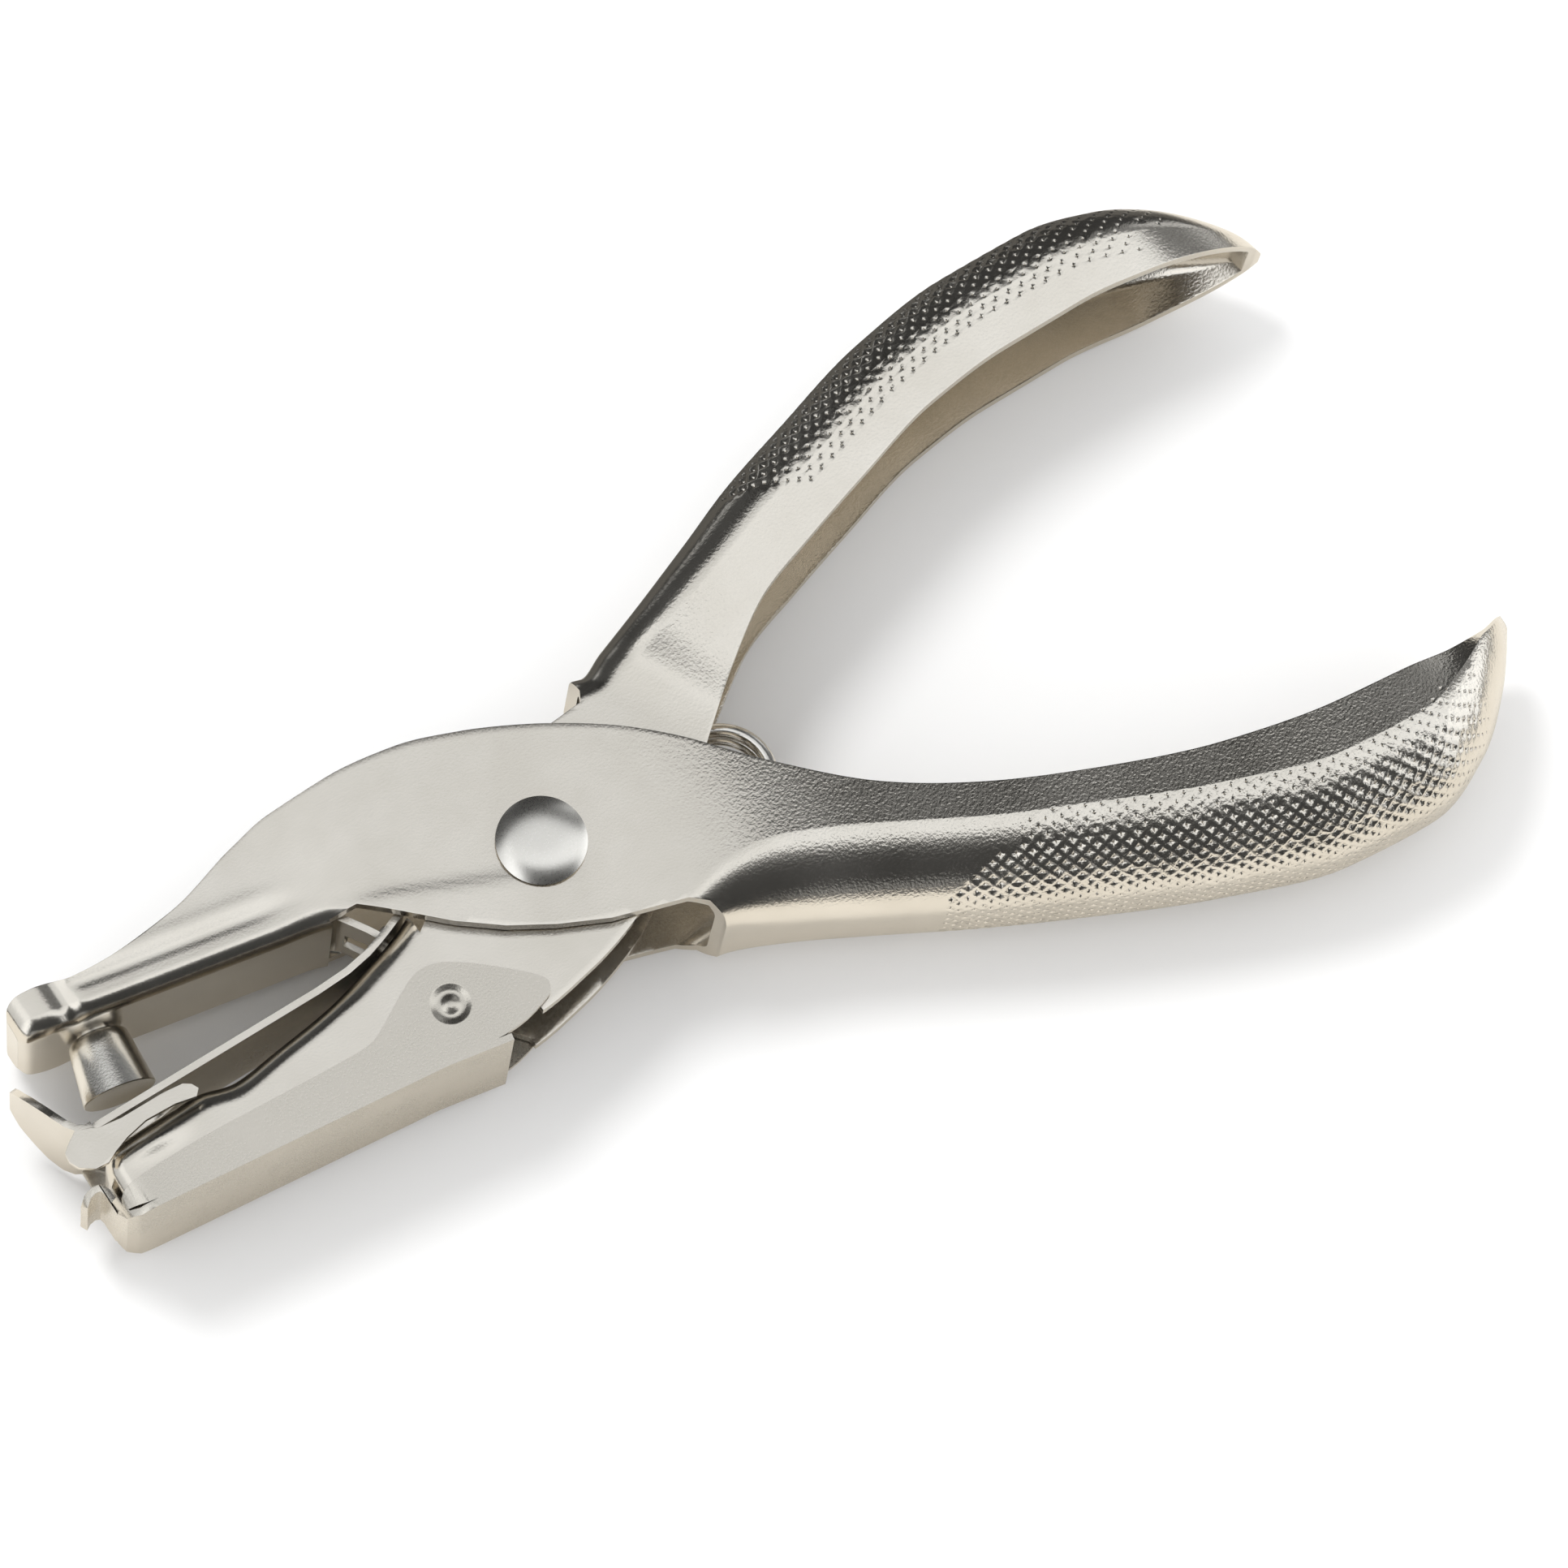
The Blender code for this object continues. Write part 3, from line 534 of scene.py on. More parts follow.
def plated(name, colour, dull, rough, grain, peel):
    """Nickel plate: a warm metal with soft blotches, a fine grain, and orange peel on the handles."""
    made = Nodes(name)
    cloud = made.noise(BLOTCHES, 3.0, 0.6)
    fine = made.noise(FINE_GRAIN, 2.0, 0.6)
    speck = made.noise(PEEL_GRAIN, 1.0, 0.5)
    blend = made.add("ShaderNodeMix", data_type="RGBA")
    made.link(made.spread(cloud, 0.35, 0.65, 0.0, 1.0), blend.inputs["Factor"])
    blend.inputs["A"].default_value = (*dull, 1.0)
    blend.inputs["B"].default_value = (*colour, 1.0)
    made.link(blend.outputs["Result"], made.shader.inputs["Base Color"])
    made.shader.inputs["Metallic"].default_value = 1.0
    mixed = made.maths("ADD", made.maths("MULTIPLY", cloud, 0.5), made.maths("MULTIPLY", fine, 0.5))
    made.link(made.spread(mixed, 0.35, 0.65, rough[0], rough[1]), made.shader.inputs["Roughness"])
    split = made.add("ShaderNodeSeparateXYZ")
    made.link(made.place, split.inputs["Vector"])
    handle = made.spread(split.outputs["X"], SMOOTH_UNTIL, PEELED_FROM, 0.06, 1.0)
    peeled = made.maths("MULTIPLY", made.maths("MULTIPLY", speck, peel), handle)
    height = made.maths("ADD", peeled, made.maths("MULTIPLY", fine, grain))
    bump = made.add("ShaderNodeBump")
    bump.inputs["Strength"].default_value = 1.0
    bump.inputs["Distance"].default_value = BUMP_HEIGHT
    made.link(height, bump.inputs["Height"])
    made.link(bump.outputs["Normal"], made.shader.inputs["Normal"])
    return made.material


# What plated needs: the colour, its duller blotches, the roughness's range, and the heights of the
# fine grain and the orange peel as shares of BUMP_HEIGHT
NICKEL = (0.78, 0.735, 0.66)
NICKEL_DULL = (0.70, 0.655, 0.58)
GREY_STEEL = (0.80, 0.77, 0.71)
GREY_DULL = (0.70, 0.67, 0.61)

punch_finish = plated("punch_lever_plate", NICKEL, NICKEL_DULL, (0.16, 0.26), 0.08, 0.36)
die_finish = plated("die_lever_plate", NICKEL, NICKEL_DULL, (0.16, 0.26), 0.08, 0.16)
bright_finish = plated("bright_plate", NICKEL, NICKEL_DULL, (0.18, 0.28), 0.08, 0.10)
rivet_finish = plated("rivet_plate", (0.86, 0.83, 0.78), GREY_STEEL, (0.26, 0.34), 0.04, 0.04)
catcher_finish = plated("catcher_plate", NICKEL_DULL, (0.64, 0.60, 0.53), (0.24, 0.34), 0.10, 0.10)
steel_finish = plated("ground_steel", GREY_STEEL, GREY_DULL, (0.16, 0.26), 0.1, 0.1)
wire_finish = plated("spring_wire", (0.82, 0.79, 0.74), (0.72, 0.69, 0.64), (0.12, 0.2), 0.04, 0.06)


# ---- the two levers ----

WALL_FROM = 4.5      # a point this far from the middle plane is on a side wall
HANDLE_FROM = 12.0   # the punch lever is left plain from here on

# Upper jaw: each ridge's distance from the web, its width and its height, and the stretches of X
# over which the ridges rise and fade
JAW_RIDGES = ((0.9, 0.55, 0.07), (2.9, 0.6, -0.10), (4.3, 0.7, 0.06))
RIDGE_RISE = (-40.0, -38.0)
RIDGE_FADE = (-24.0, -17.5)
JAW_UNTIL = -17.0
NECK_X = -40.1
NECK_DEPTH = 0.45
NECK_WIDTH = 0.9
# Cheek: the line under which it stands out a little, and where that step rises and fades
CREASE = [(-18.0, 4.3), (-17.3, 4.5), (-12.8, 3.0), (-7.9, 0.8), (-2.9, -1.3), (3.0, -4.6), (9.0, -8.6)]
CREASE_HEIGHT = 0.12
CREASE_SOFTNESS = 0.6
CREASE_RISE = (-18.0, -14.0)
CREASE_FADE = (-4.0, 3.0)


def dress_punch_lever(grid):
    """Press the ridges of the upper jaw, the nose's neck and the cheek's raised band."""
    crease_x, crease_y = zip(*CREASE)
    for ring in grid:
        web = ring[len(ring) // 2].copy()
        for point in ring:
            x, y, z = point
            side = math.copysign(1.0, z)
            if abs(z) < WALL_FROM or x > HANDLE_FROM:
                continue
            push = 0.0
            if x < JAW_UNTIL:
                down = math.hypot(x - web[0], y - web[1])
                fade = step01(*RIDGE_RISE, x) * (1 - step01(*RIDGE_FADE, x))
                for centre, width, height in JAW_RIDGES:
                    push += height * bell(down, centre, width) * fade
                push -= NECK_DEPTH * bell(x, NECK_X, NECK_WIDTH)
            crease = np.interp(x, crease_x, crease_y)
            below = 1 - step01(crease - CREASE_SOFTNESS, crease + CREASE_SOFTNESS, y)
            band = below * step01(*CREASE_RISE, x)
            push += CREASE_HEIGHT * band * (1 - step01(*CREASE_FADE, x))
            point[2] = z + side * push


FLARE_X = 10.2       # where the upper handle's web starts
FLARE_HEIGHT = 0.30
FLARE_WIDTH = 0.7
FLARE_EDGE = (4.5, 7.0)      # it fades between these distances around from the web's centre
SWELL_PLACE = (-39.6, -4.3)  # X and Y of the swelling's middle
SWELL_REACH = (2.4, 0.9)     # and how far it spreads along each
SWELL_HEIGHT = 0.25
DIE_JAW_UNTIL = -30.0


def dress_die_lever(grid, reaches):
    """Flare the upper handle's web where it starts, and swell the wall beside the die."""
    normals = grid_normals(grid)
    middle = grid.shape[1] // 2
    for k in range(grid.shape[0]):
        flare = FLARE_HEIGHT * bell(grid[k, middle, 0], FLARE_X, FLARE_WIDTH)
        for i in range(grid.shape[1]):
            x, y, z = grid[k, i]
            grid[k, i] += normals[k, i] * flare * (1 - step01(*FLARE_EDGE, abs(reaches[k, i])))
            if abs(z) > WALL_FROM and x < DIE_JAW_UNTIL:
                swell = math.copysign(SWELL_HEIGHT, z)
                for value, centre, width in zip((x, y), SWELL_PLACE, SWELL_REACH):
                    swell *= bell(value, centre, width)
                grid[k, i, 2] += swell


# A handle's diamonds: how far around from the web's centre its bends end, the X of the first
# diamond, and the two X between which they fade out
PUNCH_KNURL = (10.5, 26.5, 62.0, 77.0)
DIE_KNURL = (9.8, 27.0, 62.0, 77.5)
START_HALF = 5.5     # the first diamonds lie in a straight line this far around,
START_SLANT = 1.1    # and further along by this much for each millimetre after that
BEND_LOSS = 0.72     # share of the weight lost at the end of the bend
WALL_LOSS = 0.28     # and the rest of it, lost down the side wall
WALL_ROWS = (3.0, 3.5)   # between these distances past the bend's end
MIDDLE_WEIGHT = 0.35     # share of the weight along the web's centre
MIDDLE_EDGE = (2.0, 4.5)   # it grows to 1 between these distances from there


def knurl_weight(place, reach, bend_half, start, fade_from, fade_to):
    """How fully the diamonds are pressed at a point of a handle: 0 is none and 1 is full."""
    out = abs(reach)
    begin = start + START_SLANT * max(0.0, out - START_HALF)
    length_part = step01(begin - 0.1, begin + 0.1, place) * (1 - step01(fade_from, fade_to, place))
    wall_from, wall_to = (bend_half + further for further in WALL_ROWS)
    width_part = (1 - BEND_LOSS * step01(bend_half - 1.5, bend_half, out)
                  - WALL_LOSS * step01(wall_from, wall_to, out))
    middle_part = MIDDLE_WEIGHT + (1 - MIDDLE_WEIGHT) * step01(*MIDDLE_EDGE, out)
    return length_part * width_part * middle_part


def add_diamond(bm, centre, normal, forward, weight):
    """A pointed shape, wide just above the skin and narrow at its pit, with a dot at its middle."""
    half = KNURL_PITCH / 2
    side = normal.cross(forward).normalized()
    wide = half * (0.28 + 0.50 * weight)
    inner = half * (0.16 + 0.10 * weight)
    depth = PIT_DEPTH * weight
    slope = (wide - inner) / max(depth, 0.04)
    top = min(wide + slope * CUTTER_RISE, half * 0.96)
    rings = []
    for reach, height in ((top, CUTTER_RISE), (inner, -depth)):
        ring = []
        for u, v in ((1, 0), (0, 1), (-1, 0), (0, -1)):
            ring.append(bm.verts.new(centre + forward * u * reach + side * v * reach + normal * height))
        rings.append(ring)
    high, low = rings
    tip = bm.verts.new(centre - normal * (depth + DOT_DEPTH))
    for c in range(4):
        d = (c + 1) % 4
        bm.faces.new((high[c], high[d], low[d], low[c]))
        bm.faces.new((low[c], low[d], tip))
    bm.faces.new(high)


def knurl_cutter(name, grid, reaches, limits):
    """Rows of small diamond-shaped points, which press the knurl into a handle's skin."""
    normals = grid_normals(grid)
    middle = grid.shape[1] // 2
    legs = np.linalg.norm(np.diff(grid[:, middle], axis=0), axis=1)
    along = np.concatenate([[0.0], np.cumsum(legs)])
    half = KNURL_PITCH / 2
    bm = bmesh.new()
    for a in range(int(along[-1] / half)):
        s = a * half
        k = int(np.searchsorted(along, s))
        if k < 1 or k >= len(along) - 1:
            continue
        for b in range(-KNURL_ROWS, KNURL_ROWS + 1):
            t = b * half
            weight = knurl_weight(grid[k, middle, 0], t, *limits)
            i = int(np.argmin(np.abs(reaches[k] - t)))
            if (a + b) % 2 or weight < KNURL_LEAST or i < 2 or i > grid.shape[1] - 3:
                continue
            share = (s - along[k - 1]) / (along[k] - along[k - 1])
            ring = grid[k - 1] * (1 - share) + grid[k] * share
            centre = Vector([np.interp(t, reaches[k], ring[:, c]) for c in range(3)])
            forward = Vector(grid[k + 1, i] - grid[k - 1, i]).normalized()
            add_diamond(bm, centre, Vector(normals[k, i]), forward, weight)
    return new_object(name, bm)


def lever_places(rows, count):
    """Evenly spaced places in a table of sections, for eased."""
    return np.linspace(0.0, len(rows) - 1.0, count)


def hollow_out(lever, rows):
    """Cut a lever's inside away, leaving its sheet."""
    low, high = rows[0][0] + END_WALL, rows[-1][0] - END_WALL
    inside = []
    for place in lever_places(rows, INNER_STATIONS):
        x, _, _, _, edge_half, _, _ = eased(rows, [place])[0]
        if edge_half - SHEET > LEAST_HOLLOW and low < x < high:
            inside.append(place)
    grid, _ = lever_grid(rows, inside, SHEET, -EDGE_SLACK)
    cut(lever, skin("hollow", grid))


def leaning(tilt):
    """The direction of Y turned by a tilt towards X, in degrees."""
    turn = math.radians(tilt)
    return (math.sin(turn), math.cos(turn), 0)


def along_axis(start, axis, distance):
    """The place at a distance from a start along an axis, in the middle plane."""
    return (start[0] + axis[0] * distance, start[1] + axis[1] * distance, 0)


PIN_AXIS = leaning(WEB_TILT)
STRIP_AXIS = leaning(-STRIP_SLOPE)


def build_punch_lever():
    grid, reaches = lever_grid(PUNCH_LEVER, lever_places(PUNCH_LEVER, STATIONS), 0.0, 0.0)
    dress_punch_lever(grid)
    lever = skin("punch_lever_plate", grid)
    hollow_out(lever, PUNCH_LEVER)
    cut(lever, prism("window", PUNCH_WINDOW, -THROUGH, THROUGH))
    cut(lever, prism("window_top", WINDOW_TOP, -WINDOW_HALF, WINDOW_HALF))
    cut(lever, across("bore", RIVET_RADIUS + GAP, (0, 0)))
    stake = along_axis(PIN_BASE, PIN_AXIS, -2.0)
    cut(lever, rod("stake_hole", STAKE_RADIUS + GAP, stake, PIN_AXIS, 6.0))
    diamonds = knurl_cutter("lower_diamonds", grid, reaches, PUNCH_KNURL)
    finish_piece(lever, punch_finish, "punch_side", "punch_lever", 0.22, press=diamonds)


def build_die_lever():
    grid, reaches = lever_grid(DIE_LEVER, lever_places(DIE_LEVER, STATIONS), 0.0, 0.0)
    dress_die_lever(grid, reaches)
    lever = skin("die_lever_plate", grid)
    hollow_out(lever, DIE_LEVER)
    cut(lever, prism("window", DIE_WINDOW, -THROUGH, THROUGH))
    cut(lever, prism("notch", HINGE_NOTCH, -THROUGH, THROUGH))
    cut(lever, across("bore", RIVET_RADIUS + GAP, (0, 0)))
    cut(lever, across("hinge_bore", CATCH_BORE_RADIUS, CATCH_HINGE))
    cut(lever, rod("die_hole", BUSH_RADIUS + 0.25, (DIE_CENTRE[0], -6.0, 0), (0, 1, 0), 8.0))
    strip = along_axis(STRIP_RIVET, STRIP_AXIS, -5.0)
    cut(lever, rod("strip_hole", STRIP_HOLE_RADIUS, strip, STRIP_AXIS, 8.0, 40))
    diamonds = knurl_cutter("upper_diamonds", grid, reaches, DIE_KNURL)
    finish_piece(lever, die_finish, "die_side", "die_lever", 0.22, press=diamonds)


# ---- the small pieces ----

def build_rivet():
    """The far head has a flat land, and the near one is a low dome."""
    under = CHEEK_HALF + 0.2
    rise = MID - under
    profile = [(0, -MID)]
    for step in range(10, -1, -1):
        part = step / 10 * math.pi / 2
        wide = HEAD_RADIUS - (HEAD_RADIUS - HEAD_LAND) * (1 - math.cos(part))
        profile.append((wide, -under - rise * math.sin(part)))
    profile += [(RIVET_RADIUS, -under), (RIVET_RADIUS, under)]
    for step in range(17):
        part = step / 16
        wide = HEAD_RADIUS * math.cos(part * math.pi / 2)
        lift = 1 - (wide / HEAD_RADIUS) ** DOME_POWER
        profile.append((wide, under + rise * (DOME_RIM + (1 - DOME_RIM) * lift)))
    made = turned("domed_rivet", profile, (0, 0, 0), (0, 0, 1))
    finish_piece(made, rivet_finish, "punch_side", "pivot_rivet", 0.0)


def build_pin():
    """The punch widens towards its cutting tip, and is staked above the jaw's web."""
    head = SHEET + GAP
    profile = [
        (0, -PIN_LENGTH + 0.35), (PIN_TIP_RADIUS * 0.6, -PIN_LENGTH + 0.2),
        (PIN_TIP_RADIUS - 0.08, -PIN_LENGTH), (PIN_TIP_RADIUS, -PIN_LENGTH + 0.08),
        (PIN_BASE_RADIUS + 0.1, -1.2), (PIN_BASE_RADIUS, -GAP - 0.25),
        (PIN_BASE_RADIUS - 0.2, -GAP), (STAKE_RADIUS, -GAP),
        (STAKE_RADIUS, head), (2.4, head), (2.3, head + 0.3), (2.0, head + 0.6),
        (1.2, head + 0.85), (0, head + 0.9),
    ]
    made = turned("tapered_punch", profile, (*PIN_BASE, 0), PIN_AXIS)
    finish_piece(made, steel_finish, "punch_side", "punch_pin", 0.0)


def catcher_corner(side, radius):
    """The bend from one of the catcher's side plates round to its front."""
    corner_half = LIP_HALF - THIN / 2 - CATCH_CORNER
    points = []
    for step in range(BEND_STEPS + 1):
        turn = math.radians(90.0 * step / BEND_STEPS)
        x = CATCH_FRONT + CATCH_CORNER - radius * math.sin(turn)
        points.append((x, side * (corner_half + radius * math.cos(turn))))
    return points


def build_catcher():
    """A bent strip cut to the side plates' outline, with a floor, two bosses and two dimples."""
    rear = LIP_HALF - THIN / 2
    near, far = catcher_corner(1, CATCH_CORNER), catcher_corner(-1, CATCH_CORNER)
    bend = [(CATCH_REAR, rear)] + near + far[::-1] + [(CATCH_REAR, -rear)]
    catcher = prism("catcher_box", thick_line(bend, THIN), -13.0, -3.0, "Y")
    combine(catcher, prism("side", rounded(PLATE, 2), -CATCH_CLEAR, CATCH_CLEAR), "INTERSECT")
    floor = prism("floor", thick_line(FLOOR_LINE, THIN), -LIP_HALF, LIP_HALF)
    for side in (-1, 1):
        trim = [(-50.0, -6.5), (-50.0, -3.0), (-44.0, -3.0), (-44.0, -6.5)]
        cut(floor, prism("trim", trim, *sorted((side * 4.8, side * CATCH_CLEAR))))
        outside = catcher_corner(side, CATCH_CORNER + THIN / 2)[:-1]
        outside += [(-45.5, side * 4.8), (-46.6, side * 4.4), (-47.3, side * 3.6)]
        outside += [(-47.8, side * 2.6), (-50.0, side * 2.4), (-50.0, side * CATCH_CLEAR)]
        outside += [(outside[0][0], side * CATCH_CLEAR)]
        cut(floor, prism("outside", outside, -14.0, -3.0, "Y"))
    join(catcher, floor)
    for side in (-1, 1):
        place = (*CATCH_HINGE, side * rear)
        join(catcher, rod("boss", 1.1, place, (0, 0, -side), 1.6, 32))
        profile = [(0, 0.6), (0, 0.02), (0.45, -0.04), (0.72, -0.2), (0.9, -0.26), (1.15, -0.26),
                   (1.35, -0.2), (1.65, -0.04), (1.8, 0.0), (1.8, 0.6)]
        place = (*CATCH_HINGE, side * LIP_HALF)
        cut(catcher, turned("dimple", profile, place, (0, 0, side), SMALL_SPIN_STEPS))
    finish_piece(catcher, catcher_finish, "catcher", "chip_catcher", 0.18)


def build_spring():
    """The coil and its two legs, which bend between the two levers."""
    cx, cy = COIL_CENTRE
    half = COIL_PITCH * (COIL_SWEEP / 360.0) / 2
    route = [(x, y, -half) for x, y in LOWER_LEG[::-1]]
    for i in range(COIL_STEPS + 1):
        turn = math.radians(COIL_START - COIL_SWEEP * i / COIL_STEPS)
        height = half * (2 * i / COIL_STEPS - 1)
        route.append((cx + COIL_RADIUS * math.cos(turn), cy + COIL_RADIUS * math.sin(turn), height))
    route += [(x, y, half) for x, y in UPPER_LEG]
    curve = bpy.data.curves.new("torsion_spring", "CURVE")
    curve.dimensions = "3D"
    curve.bevel_depth = WIRE_RADIUS * MM
    curve.bevel_resolution = 5
    curve.use_fill_caps = True
    line = curve.splines.new("POLY")
    line.points.add(len(route) - 1)
    for point, (x, y, z) in zip(line.points, route):
        point.co = (x * MM, y * MM, (z + MID) * MM, 1.0)
    holder = bpy.data.objects.new("torsion_spring_line", curve)
    bpy.context.scene.collection.objects.link(holder)
    depsgraph = bpy.context.evaluated_depsgraph_get()
    mesh = bpy.data.meshes.new_from_object(holder.evaluated_get(depsgraph))
    bpy.data.objects.remove(holder)
    made = bpy.data.objects.new("torsion_spring", mesh)
    bpy.context.scene.collection.objects.link(made)
    mesh.materials.clear()
    mesh.materials.append(wire_finish)
    mesh.shade_smooth()
    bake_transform(made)
    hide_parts("return_spring")


build_punch_lever()
build_die_lever()
build_rivet()
build_pin()
build_catcher()
build_spring()
# Pieces whose CAD shape is right, as copies with softened edges
for node, name, finish, body, slot, edge in (
        ("stripper_guide", "stripper_strip", bright_finish, "stripper", "bright_plate", 0.15),
        ("stripper_rivet", "strip_rivet", rivet_finish, "die_side", "bright_plate", 0.12),
        ("die_bush", "die_ring", steel_finish, "die_side", "hardened_steel", 0.06),
        ("pivot_spacer", "spacer_tube", steel_finish, "punch_side", "hardened_steel", 0.1)):
    finish_piece(copy_of(node, name), finish, body, node, edge)


# ---- floor, light and camera ----

FLOOR_HALF = 3.0
FLOOR_WHITE = (0.94, 0.94, 0.94, 1.0)
BLACK = (0.0, 0.0, 0.0, 1.0)
SEEN_AS_FAR = 0.12          # metres from the metal at which the painted reflection of the floor is darkest
# Painted reflection, for glossy rays only: near the metal the floor is warm and a little dimmed, as
# painted shade of the floor under the tool, and further off it is near black, as a painted dark
# surround
PAINTED_FLOOR_REFLECTION = [
    (0.0, (0.78, 0.74, 0.67)), (0.10, (0.86, 0.83, 0.77)), (0.60, (0.82, 0.79, 0.73)),
    (0.80, (0.14, 0.13, 0.11)), (1.0, (0.03, 0.03, 0.03)),
]
# Painted reflection: for glossy rays the floor beyond the upper handle is painted dark, so it looks
# dark in the metal, except beside the jaws
BEYOND_WAY = (-0.18, 0.98, 0.0)
BEYOND_EDGE = (0.011, 0.018)   # metres that way, between which it darkens
BEYOND_PAINTED_DARK = 0.10
JAWS_EDGE = (-0.035, -0.02)    # and the X between which that sets in


def set_ramp(ramp, stops):
    """Give a colour ramp its stops, as (position, colour) pairs."""
    elements = ramp.color_ramp.elements
    while len(elements) < len(stops):
        elements.new(0.5)
    for element, (position, colour) in zip(elements, stops):
        element.position = position
        element.color = (*colour, 1.0)


def build_floor():
    """A white floor to the camera, which for glossy rays carries a painted reflection: warmer near the
    metal, as painted shade, and dark where it is far off or beyond the upper handle, except beside the
    jaws.
    """
    bm = bmesh.new()
    bmesh.ops.create_grid(bm, x_segments=1, y_segments=1, size=FLOOR_HALF)
    mesh = bpy.data.meshes.new("floor")
    bm.to_mesh(mesh)
    bm.free()
    floor = bpy.data.objects.new("floor", mesh)
    bpy.context.scene.collection.objects.link(floor)
    made = Nodes("floor_with_painted_reflection")
    made.link(made.spread(made.noise(40.0), 0.3, 0.7, 0.85, 0.95), made.shader.inputs["Roughness"])
    # Painted reflection: for glossy rays the floor's colour follows the length of the ray
    path = made.add("ShaderNodeLightPath")
    ramp = made.add("ShaderNodeValToRGB")
    far = made.spread(path.outputs["Ray Length"], 0.0, SEEN_AS_FAR, 0.0, 1.0)
    made.link(far, ramp.inputs["Fac"])
    set_ramp(ramp, PAINTED_FLOOR_REFLECTION)
    product = made.add("ShaderNodeVectorMath", operation="DOT_PRODUCT")
    made.link(made.place, product.inputs[0])
    product.inputs[1].default_value = BEYOND_WAY
    # Painted dark reflection of the floor beyond the upper handle, left out beside the jaws
    beyond = made.spread(product.outputs["Value"], *BEYOND_EDGE, 1.0, BEYOND_PAINTED_DARK)
    split = made.add("ShaderNodeSeparateXYZ")
    made.link(made.place, split.inputs["Vector"])
    beside_jaws = made.spread(split.outputs["X"], *JAWS_EDGE, 1.0, 0.0)
    shade = made.add("ShaderNodeMix", data_type="RGBA")
    made.link(made.maths("MAXIMUM", beyond, beside_jaws), shade.inputs["Factor"])
    shade.inputs["A"].default_value = BLACK
    made.link(ramp.outputs["Color"], shade.inputs["B"])
    # Camera and diffuse rays see the even white floor, and glossy rays see the painted reflection
    mix = made.add("ShaderNodeMix", data_type="RGBA")
    made.link(path.outputs["Is Glossy Ray"], mix.inputs["Factor"])
    mix.inputs["A"].default_value = FLOOR_WHITE
    made.link(shade.outputs["Result"], mix.inputs["B"])
    made.link(mix.outputs["Result"], made.shader.inputs["Base Color"])
    mesh.materials.append(made.material)


# The studio as the metal reflects it: for a direction, how far a ray leans along it (-1 to 1) and
# the light that comes from there
FRONT_WAY = (-0.529, -0.848, 0.0)
FRONT_BANDS = [
    (-1.0, 0.7), (-0.78, 0.7), (-0.70, 0.24), (-0.58, 0.15), (-0.49, 0.06), (-0.42, 0.88),
    (0.10, 1.0), (0.22, 0.14), (0.50, 0.05), (0.95, 0.05), (1.0, 0.5),
]
RIGHT_WAY = (0.848, -0.529, 0.0)
RIGHT_BANDS = [
    (-1.0, 0.7), (-0.80, 0.9), (-0.68, 1.2), (-0.40, 1.2), (-0.28, 0.05), (0.76, 0.05),
    (0.84, 1.2), (1.0, 1.2),
]
SIDE_WAY = (0.0, 1.0, 0.0)
SIDE_BANDS = [
    (-1.0, 0.8), (-0.30, 1.15), (0.08, 1.1), (0.20, 0.95), (0.46, 0.92), (0.57, 0.05),
    (0.97, 0.05), (1.0, 0.5),
]
WHITE = (1.0, 1.0, 1.0)
EVEN_LIGHT = (1.02, 1.02, 1.02, 1.0)


def banded(tree, direction, bands, tint):
    """Light levels that depend on how far a ray leans along a direction."""
    place = tree.nodes.new("ShaderNodeTexCoord")
    product = tree.nodes.new("ShaderNodeVectorMath")
    product.operation = "DOT_PRODUCT"
    product.inputs[1].default_value = direction
    tree.links.new(place.outputs["Generated"], product.inputs[0])
    spread = tree.nodes.new("ShaderNodeMapRange")
    spread.inputs["From Min"].default_value = -1.0
    tree.links.new(product.outputs["Value"], spread.inputs["Value"])
    ramp = tree.nodes.new("ShaderNodeValToRGB")
    tree.links.new(spread.outputs["Result"], ramp.inputs["Fac"])
    set_ramp(ramp, [((lean + 1) / 2, [level * share for share in tint]) for lean, level in bands])
    return ramp.outputs["Color"]


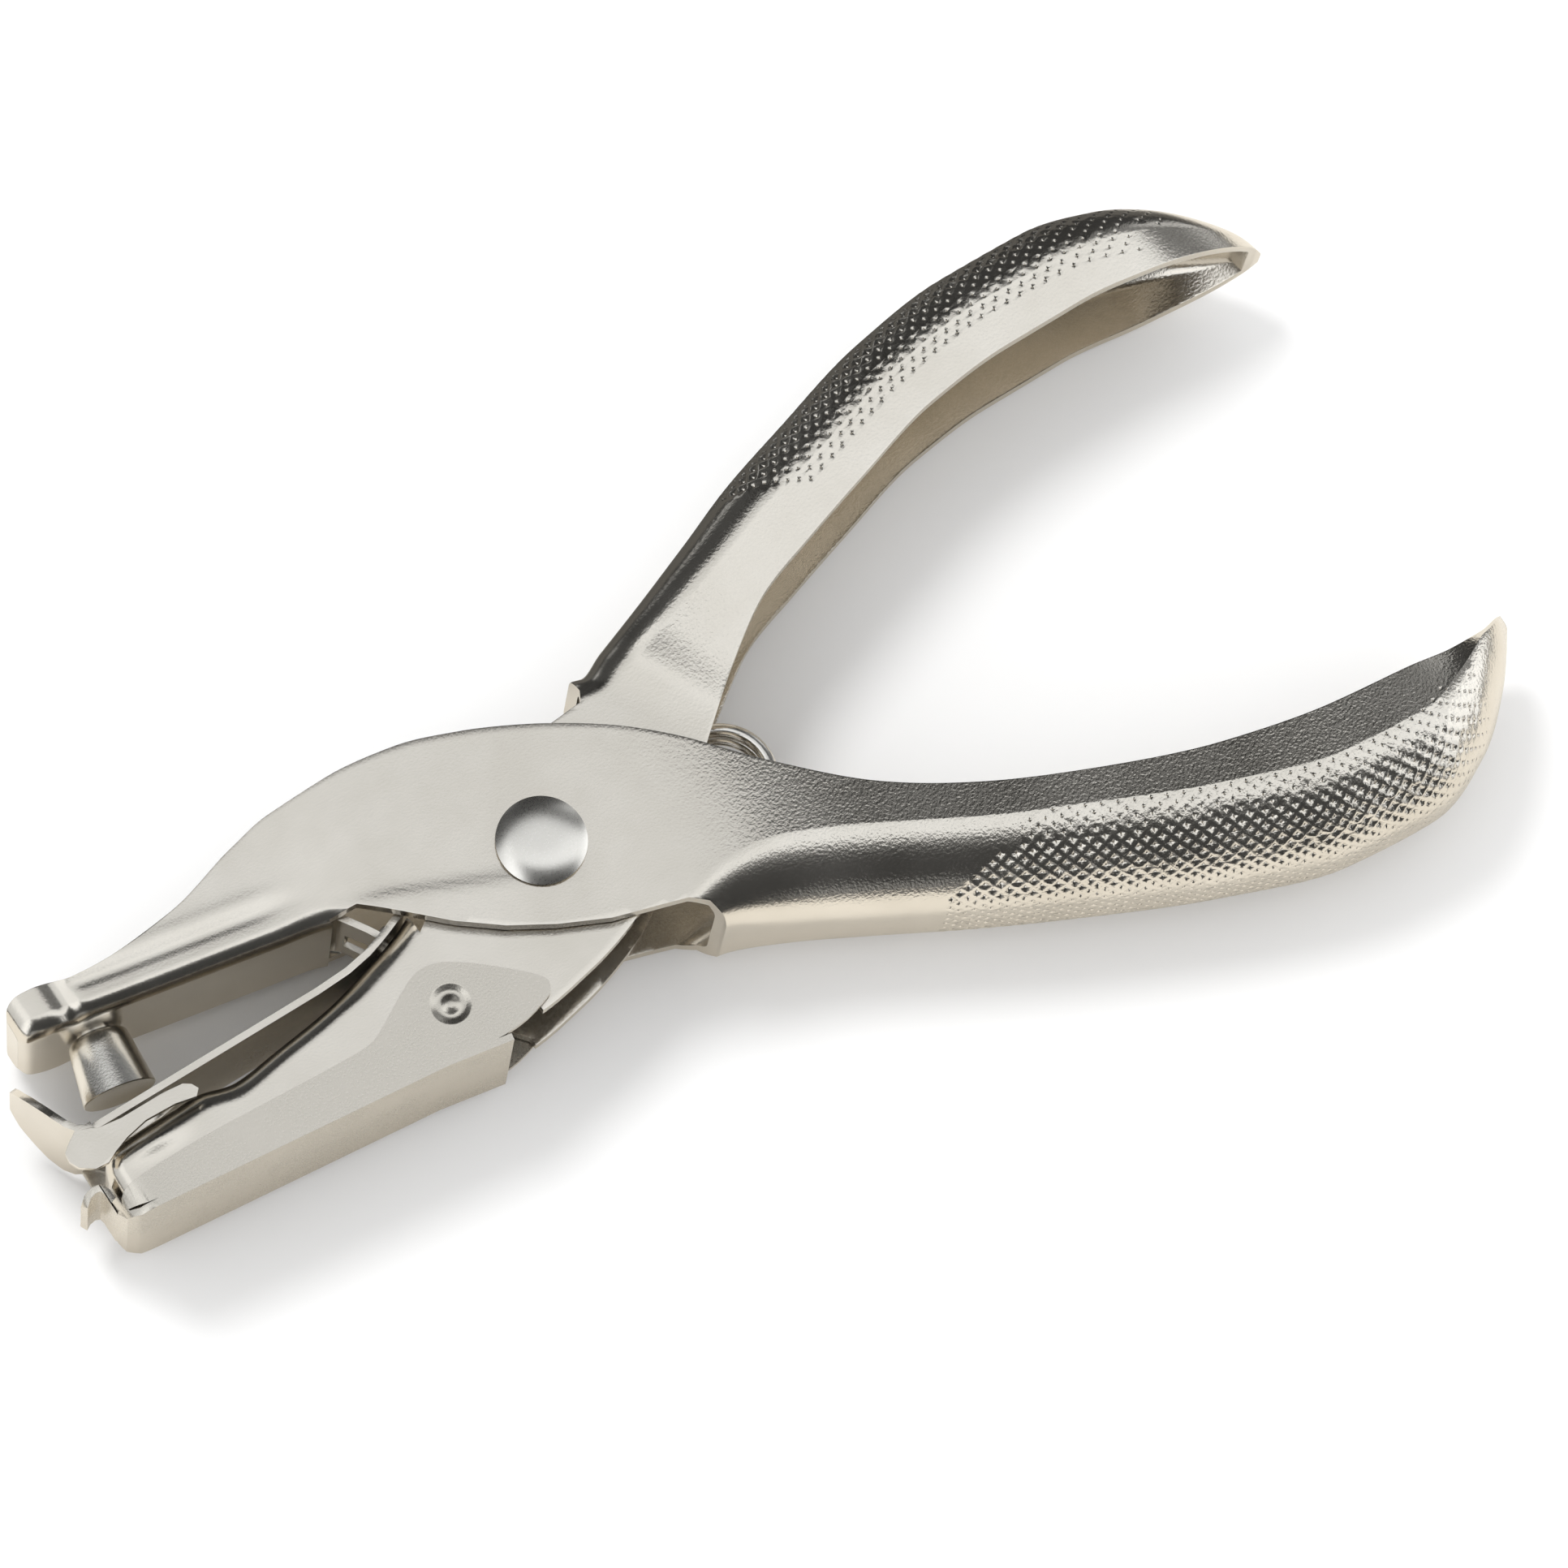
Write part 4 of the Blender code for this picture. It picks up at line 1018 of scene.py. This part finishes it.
def build_world():
    """Even white light, in which the metal alone reflects a studio of bright and dark bands."""
    world = bpy.data.worlds.new("studio")
    world.use_nodes = True
    tree = world.node_tree
    background = tree.nodes["Background"]
    front = banded(tree, FRONT_WAY, FRONT_BANDS, COOL)
    right = banded(tree, RIGHT_WAY, RIGHT_BANDS, COOL)
    side = banded(tree, SIDE_WAY, SIDE_BANDS, WHITE)
    most = tree.nodes.new("ShaderNodeVectorMath")
    most.operation = "MAXIMUM"
    tree.links.new(front, most.inputs[0])
    tree.links.new(right, most.inputs[1])
    product = tree.nodes.new("ShaderNodeVectorMath")
    product.operation = "MULTIPLY"
    tree.links.new(most.outputs["Vector"], product.inputs[0])
    tree.links.new(side, product.inputs[1])
    path = tree.nodes.new("ShaderNodeLightPath")
    mix = tree.nodes.new("ShaderNodeMix")
    mix.data_type = "RGBA"
    tree.links.new(path.outputs["Is Glossy Ray"], mix.inputs["Factor"])
    mix.inputs["A"].default_value = EVEN_LIGHT
    tree.links.new(product.outputs["Vector"], mix.inputs["B"])
    tree.links.new(mix.outputs["Result"], background.inputs["Color"])
    background.inputs["Strength"].default_value = 1.0
    bpy.context.scene.world = world
    bpy.context.scene.view_settings.view_transform = "Standard"


def add_light(name, place, size, power):
    """A round lamp aimed at the pivot, which the metal doesn't reflect."""
    data = bpy.data.lights.new(name, "AREA")
    data.shape = "DISK"
    data.size = size
    data.energy = power
    light = bpy.data.objects.new(name, data)
    light.location = place
    light.rotation_euler = (-Vector(place)).to_track_quat("-Z", "Y").to_euler()
    light.visible_glossy = False
    bpy.context.scene.collection.objects.link(light)


def build_camera():
    """A long lens above the tool, placed by its right, its top and its back as directions."""
    right = Vector((0.831936, -0.548646, 0.082886))
    up = Vector((0.506802, 0.812156, 0.289057))
    back = Vector((-0.225906, -0.198470, 0.953717))
    place = Vector((-0.138525, -0.145364, 0.683902))
    data = bpy.data.cameras.new("camera")
    data.sensor_width = 36.0
    data.lens = 195.65
    data.clip_start = 0.01
    camera = bpy.data.objects.new("camera", data)
    turn = Matrix((right, up, back)).transposed().to_4x4()
    camera.matrix_world = Matrix.Translation(place) @ turn
    bpy.context.scene.collection.objects.link(camera)
    bpy.context.scene.camera = camera


build_floor()
build_world()
add_light("key", (-0.10, 0.45, 0.8), 0.30, 3.5)
build_camera()
